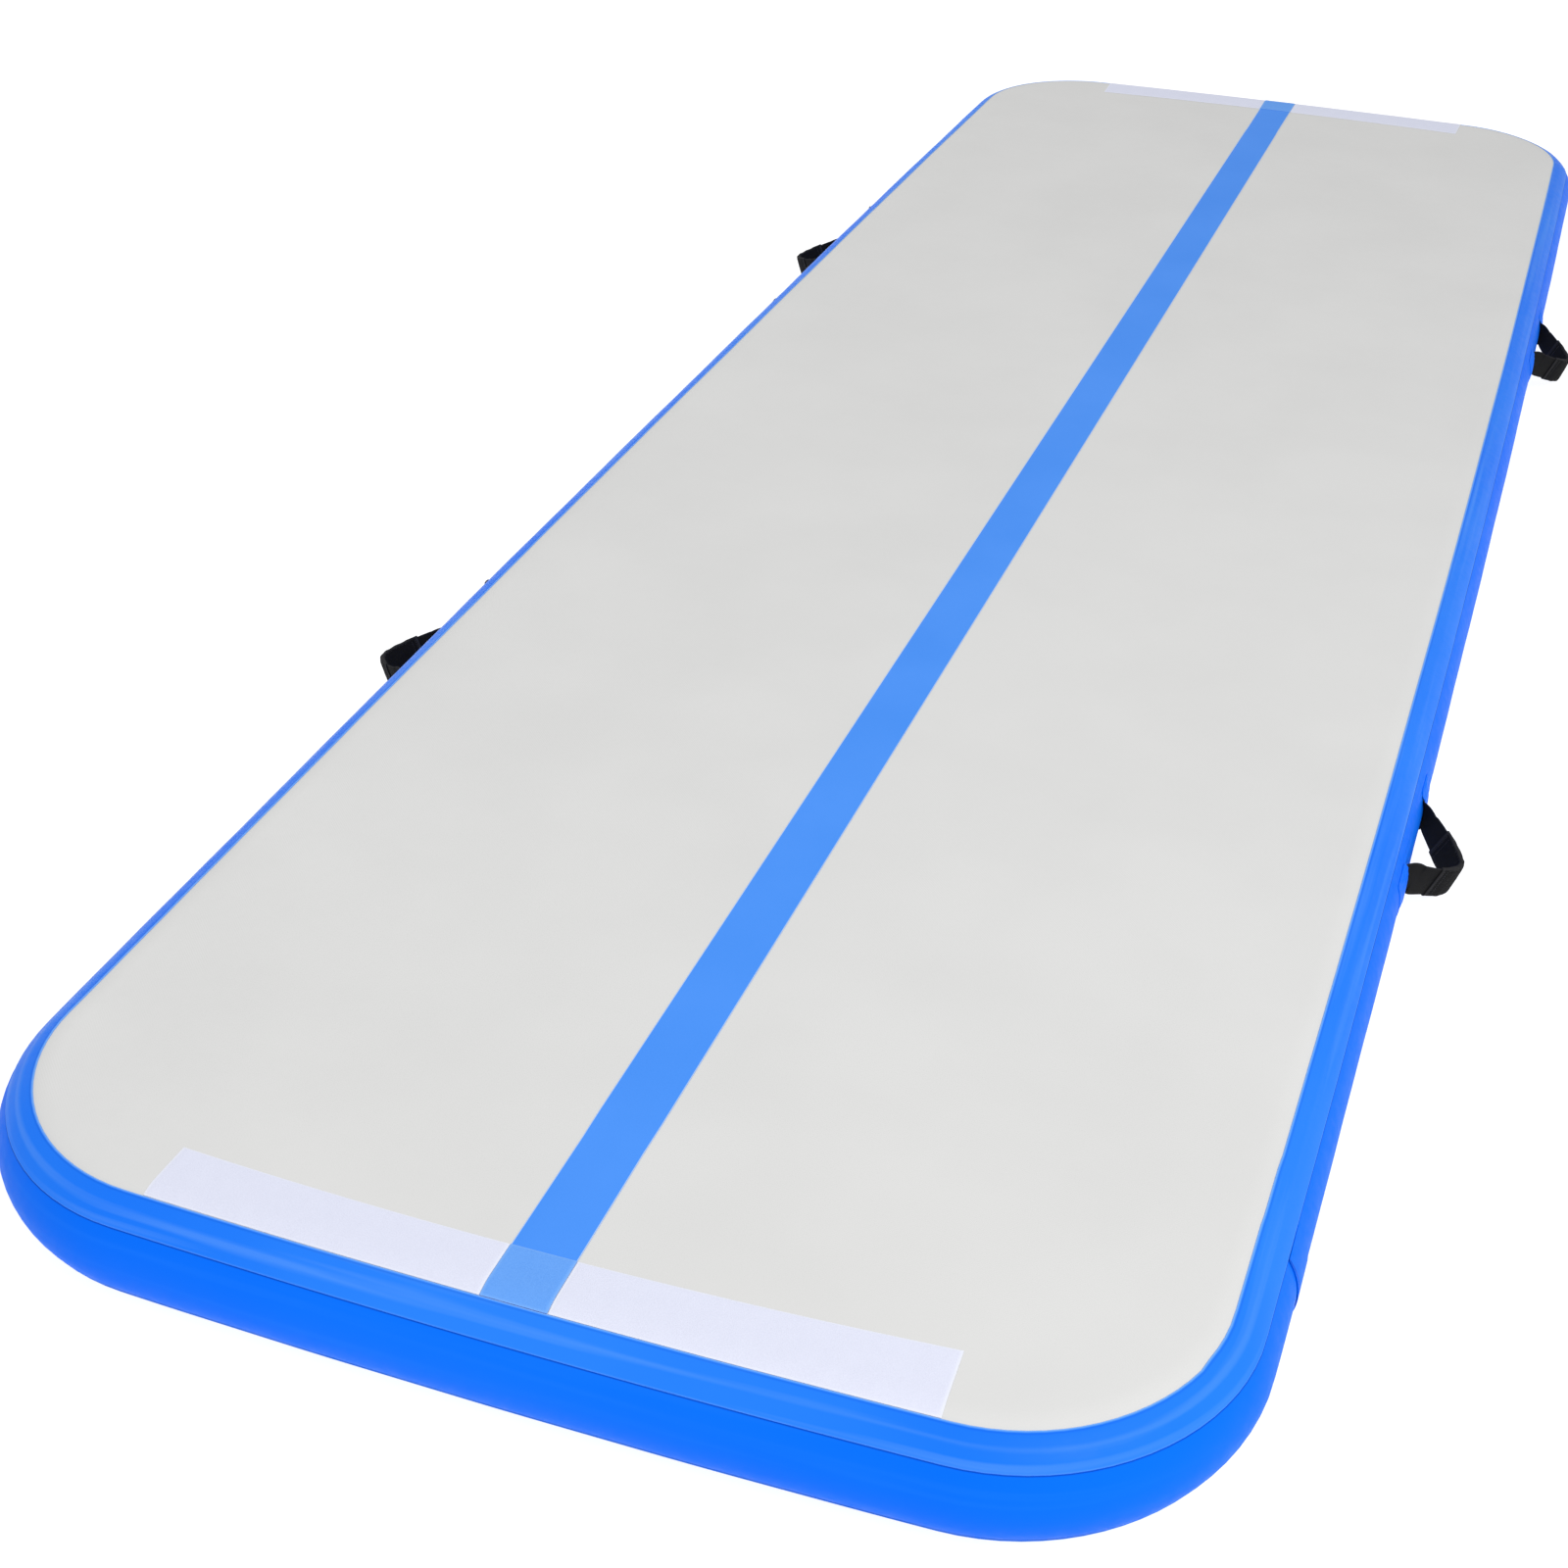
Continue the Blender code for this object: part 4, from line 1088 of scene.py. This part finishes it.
def build_valve():
    """The valve's body, its screw cap and the small pieces round them."""
    rim = 0.0360
    turned("valve_body_moulding", [
        (rim, 0.0048), (rim + 0.0003, 0.0040), (rim, 0.0028), (rim - 0.0004, 0.0023),
        (0.0225, 0.0023), (0.0225, -0.0200), (0.0055, -0.0200), (0.0055, -0.0175),
        (0.0195, -0.0175), (0.0195, 0.0060), (0.0198, 0.0063), (0.0265, 0.0063),
        (0.0270, 0.0059), (0.0300, 0.0059), (0.0305, 0.0063), (0.0330, 0.0063), (0.0348, 0.0058),
    ], VALVE_GREY, "valve_grey", "mat", ["valve_body"])
    turned("valve_cap_moulding", [
        (0.0, 0.0128), (0.0150, 0.0128), (0.0160, 0.0124), (0.0168, 0.0124), (0.0178, 0.0128),
        (0.0238, 0.0128), (0.0255, 0.0123), (0.0262, 0.0112), (0.0262, 0.0096), (0.0256, 0.0090),
        (0.0190, 0.0090), (0.0190, 0.0034), (0.0168, 0.0034), (0.0168, 0.0010), (0.0190, 0.0010),
        (0.0190, -0.0010), (0.0152, -0.0010), (0.0152, 0.0098), (0.0, 0.0098),
    ], VALVE_GREY, "valve_grey", "valve_cap", ["valve_cap"], knurl=(0.0255, 0.0006), closed=False)
    turned("valve_cap_seal", [
        (0.0182 + 0.0009 * math.cos(a), 0.0022 + 0.0009 * math.sin(a))
        for a in np.linspace(0, 2 * math.pi, 15)[:-1]
    ], RUBBER, "rubber_black", "valve_cap", ["valve_cap_o_ring"])
    build_gasket()
    build_leash()
    build_spring()


def build_gasket():
    """A rubber saddle between the curved wall and the valve's flat flange."""
    rows = []
    for k in range(TURN_STEPS):
        turn = 2 * math.pi * k / TURN_STEPS
        c, s = math.cos(turn), math.sin(turn)
        section = []
        for radius, top in ((0.0238, 0), (0.0300, 0), (0.0375, 0), (0.0380, 1), (0.0374, 2),
                            (0.0300, 2), (0.0238, 2)):
            y, z = VALVE_Y + radius * c, radius * s
            reach = abs(side_line(-1, [y])[0][0][0])
            wall = reach + math.sqrt((OVER_R + 0.0002) ** 2 - z * z)
            low, high = wall, -VALVE_X + 0.0020
            x = -(low, low + (high - low) * 0.6, high)[top]
            section.append((x, y, VALVE_Z + z))
        rows.append(section)
    grid = np.array(rows)
    make_piece("valve_gasket_saddle", grid, quads(TURN_STEPS, 7, True, True), RUBBER,
               "rubber_black", body="mat", stands_for=["valve_gasket"])


def build_leash():
    """The strap that keeps the cap: a ring round its neck and a short tail."""
    reach, tail = 0.0250, math.radians(16)
    shape = [(reach * math.cos(a), reach * math.sin(a))
             for a in np.linspace(tail, 2 * math.pi - tail, 64)]
    shape += [(0.0295, -0.0045), (0.036, -0.0034), (0.043, -0.0033), (0.0456, -0.0022),
              (0.0462, 0.0), (0.0456, 0.0022), (0.043, 0.0033), (0.036, 0.0034),
              (0.0295, 0.0045)]
    curve = flat_curve("valve_leash_moulding", 0.0006, 0.0003, shape, circle(0.0194, 64))
    spin = Matrix(((0, 0, -1, 0), (1, 0, 0, 0), (0, 1, 0, 0), (0, 0, 0, 1)))
    place = Matrix.Translation((VALVE_X - 0.0077, VALVE_Y, VALVE_Z)) @ spin
    from_curve(curve, place, RUBBER, "rubber_black", "valve_cap_leash", ["valve_cap_leash"])


def cut_valve_hole(wall):
    """The hole in the wall that the valve's barrel passes through."""
    mesh = bpy.data.meshes.new("valve_hole")
    place = Matrix.Translation((VALVE_X, VALVE_Y, VALVE_Z)) @ Matrix.Rotation(
        math.pi / 2, 4, "Y")
    work = bmesh.new()
    bmesh.ops.create_cone(work, cap_ends=True, segments=TURN_STEPS, radius1=VALVE_HOLE_R,
                          radius2=VALVE_HOLE_R, depth=0.04, matrix=place)
    bmesh.ops.recalc_face_normals(work, faces=work.faces)
    work.to_mesh(mesh)
    work.free()
    cutter = bpy.data.objects.new("valve_hole", mesh)
    bpy.context.scene.collection.objects.link(cutter)
    hole = wall.modifiers.new("valve_hole", "BOOLEAN")
    hole.operation = "DIFFERENCE"
    hole.solver = "EXACT"
    hole.object = cutter
    graph = bpy.context.evaluated_depsgraph_get()
    result = bpy.data.meshes.new_from_object(wall.evaluated_get(graph))
    wall.modifiers.clear()
    wall.data = result
    bpy.data.objects.remove(cutter)


def build_spring():
    """The plunger's return spring."""
    low, high, radius, wire, steps = -0.0166, -0.0074, 0.0058, 0.0006, 150
    rows = []
    for i in range(steps + 1):
        part = i / steps
        angle = 2 * math.pi * 4.5 * part
        out = Vector((0, math.cos(angle), math.sin(angle)))
        along = Vector((-0.08, -math.sin(angle), math.cos(angle))).normalized()
        height = low + (high - low) * (0.5 * part + 0.5 * smoothstep(part))
        centre = Vector((VALVE_X - height, VALVE_Y, VALVE_Z)) + out * radius
        other = along.cross(out)
        rows.append([tuple(centre + (out * math.cos(a) + other * math.sin(a)) * wire)
                     for a in (2 * math.pi * k / 10 for k in range(10))])
    spring = solid("valve_spring_coil", np.array(rows), STEEL, "spring_steel",
                   stands_for=["valve_spring"])
    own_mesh(spring)


# ---- pieces inside the chamber ----------------------------------------------------------
def finish_inner_nodes():
    """The CAD's inner pieces keep their shape and take a material of their own."""
    looks = {
        "drop_stitch_row": YARN, "upper_inner": INNER_TAPE, "lower_inner": INNER_TAPE,
        "valve_clamp": VALVE_GREY, "valve_plunger_seal": RUBBER, "valve_plunger": RING_BLACK,
    }
    for node, obj in frame["nodes"].items():
        if obj.hide_render:
            continue
        look = next(value for key, value in looks.items() if node.startswith(key))
        obj.data.materials.clear()
        obj.data.materials.append(look)


# ---- camera, floor and light ------------------------------------------------------------
def build_camera():
    """The photograph's viewpoint."""
    data = bpy.data.cameras.new("camera")
    data.sensor_width = 36.0
    data.lens = 54.0
    data.shift_x = -0.01635
    data.shift_y = 0.00123
    data.clip_start = 0.1
    data.clip_end = 200.0
    right = Vector((0.94274836, 0.3328538, 0.02082958))
    down = Vector((0.19610957, -0.50276078, -0.84188635))
    ahead = Vector((-0.26975277, 0.79777186, -0.53925272))
    camera = bpy.data.objects.new("camera", data)
    bpy.context.scene.collection.objects.link(camera)
    turn = Matrix((right, -down, -ahead)).transposed().to_4x4()
    camera.matrix_world = Matrix.Translation((1.09284, -5.02475, 2.49702)) @ turn
    bpy.context.scene.camera = camera


def build_stage():
    """A plain pale floor."""
    mesh = bpy.data.meshes.new("floor")
    far = 60.0
    mesh.from_pydata([(-far, -far, 0), (far, -far, 0), (far, far, 0), (-far, far, 0)], [],
                     [(0, 1, 2, 3)])
    look = Look("floor_white", 0.9, Specular_IOR_Level=0.0)
    look.shader.inputs["Base Color"].default_value = (0.30, 0.30, 0.30, 1.0)
    look.shader.inputs["Emission Color"].default_value = (1.0, 1.0, 1.0, 1.0)
    look.shader.inputs["Emission Strength"].default_value = 0.90
    mesh.materials.append(look.material)
    floor = bpy.data.objects.new("floor", mesh)
    floor.location.z = -0.0008
    bpy.context.scene.collection.objects.link(floor)


def area_light(name, place, target, size, power):
    """A round soft light that points at a target."""
    data = bpy.data.lights.new(name, "AREA")
    data.shape = "DISK"
    data.size = size
    data.energy = power
    light = bpy.data.objects.new(name, data)
    light.location = place
    way = Vector(target) - Vector(place)
    light.rotation_euler = way.to_track_quat("-Z", "Y").to_euler()
    bpy.context.scene.collection.objects.link(light)


def build_light():
    """An even white studio with a soft key light and a weak fill."""
    scene = bpy.context.scene
    world = bpy.data.worlds.new("studio")
    world.use_nodes = True
    background = world.node_tree.nodes["Background"]
    background.inputs["Color"].default_value = (1.0, 1.0, 1.0, 1.0)
    background.inputs["Strength"].default_value = 0.60
    scene.world = world
    area_light("key", (4.5, -5.5, 7.0), (0.0, -0.5, 0.0), 5.0, 380.0)
    area_light("fill", (-6.0, 3.0, 6.0), (0.0, 0.5, 0.0), 6.0, 110.0)
    scene.view_settings.view_transform = "Standard"


# ---- assembly ---------------------------------------------------------------------------
def main():
    build_camera()
    build_stage()
    build_light()
    build_skin("top_skin_cloth", "top_skin", 1)
    build_skin("bottom_skin_cloth", "bottom_skin", -1)
    walls = build_walls()
    cut_valve_hole(walls["side_wall_left_near"])
    build_bands()
    build_joint_tapes()
    build_stripe()
    build_tapes()
    build_handles()
    build_rings()
    build_valve()
    finish_inner_nodes()


main()
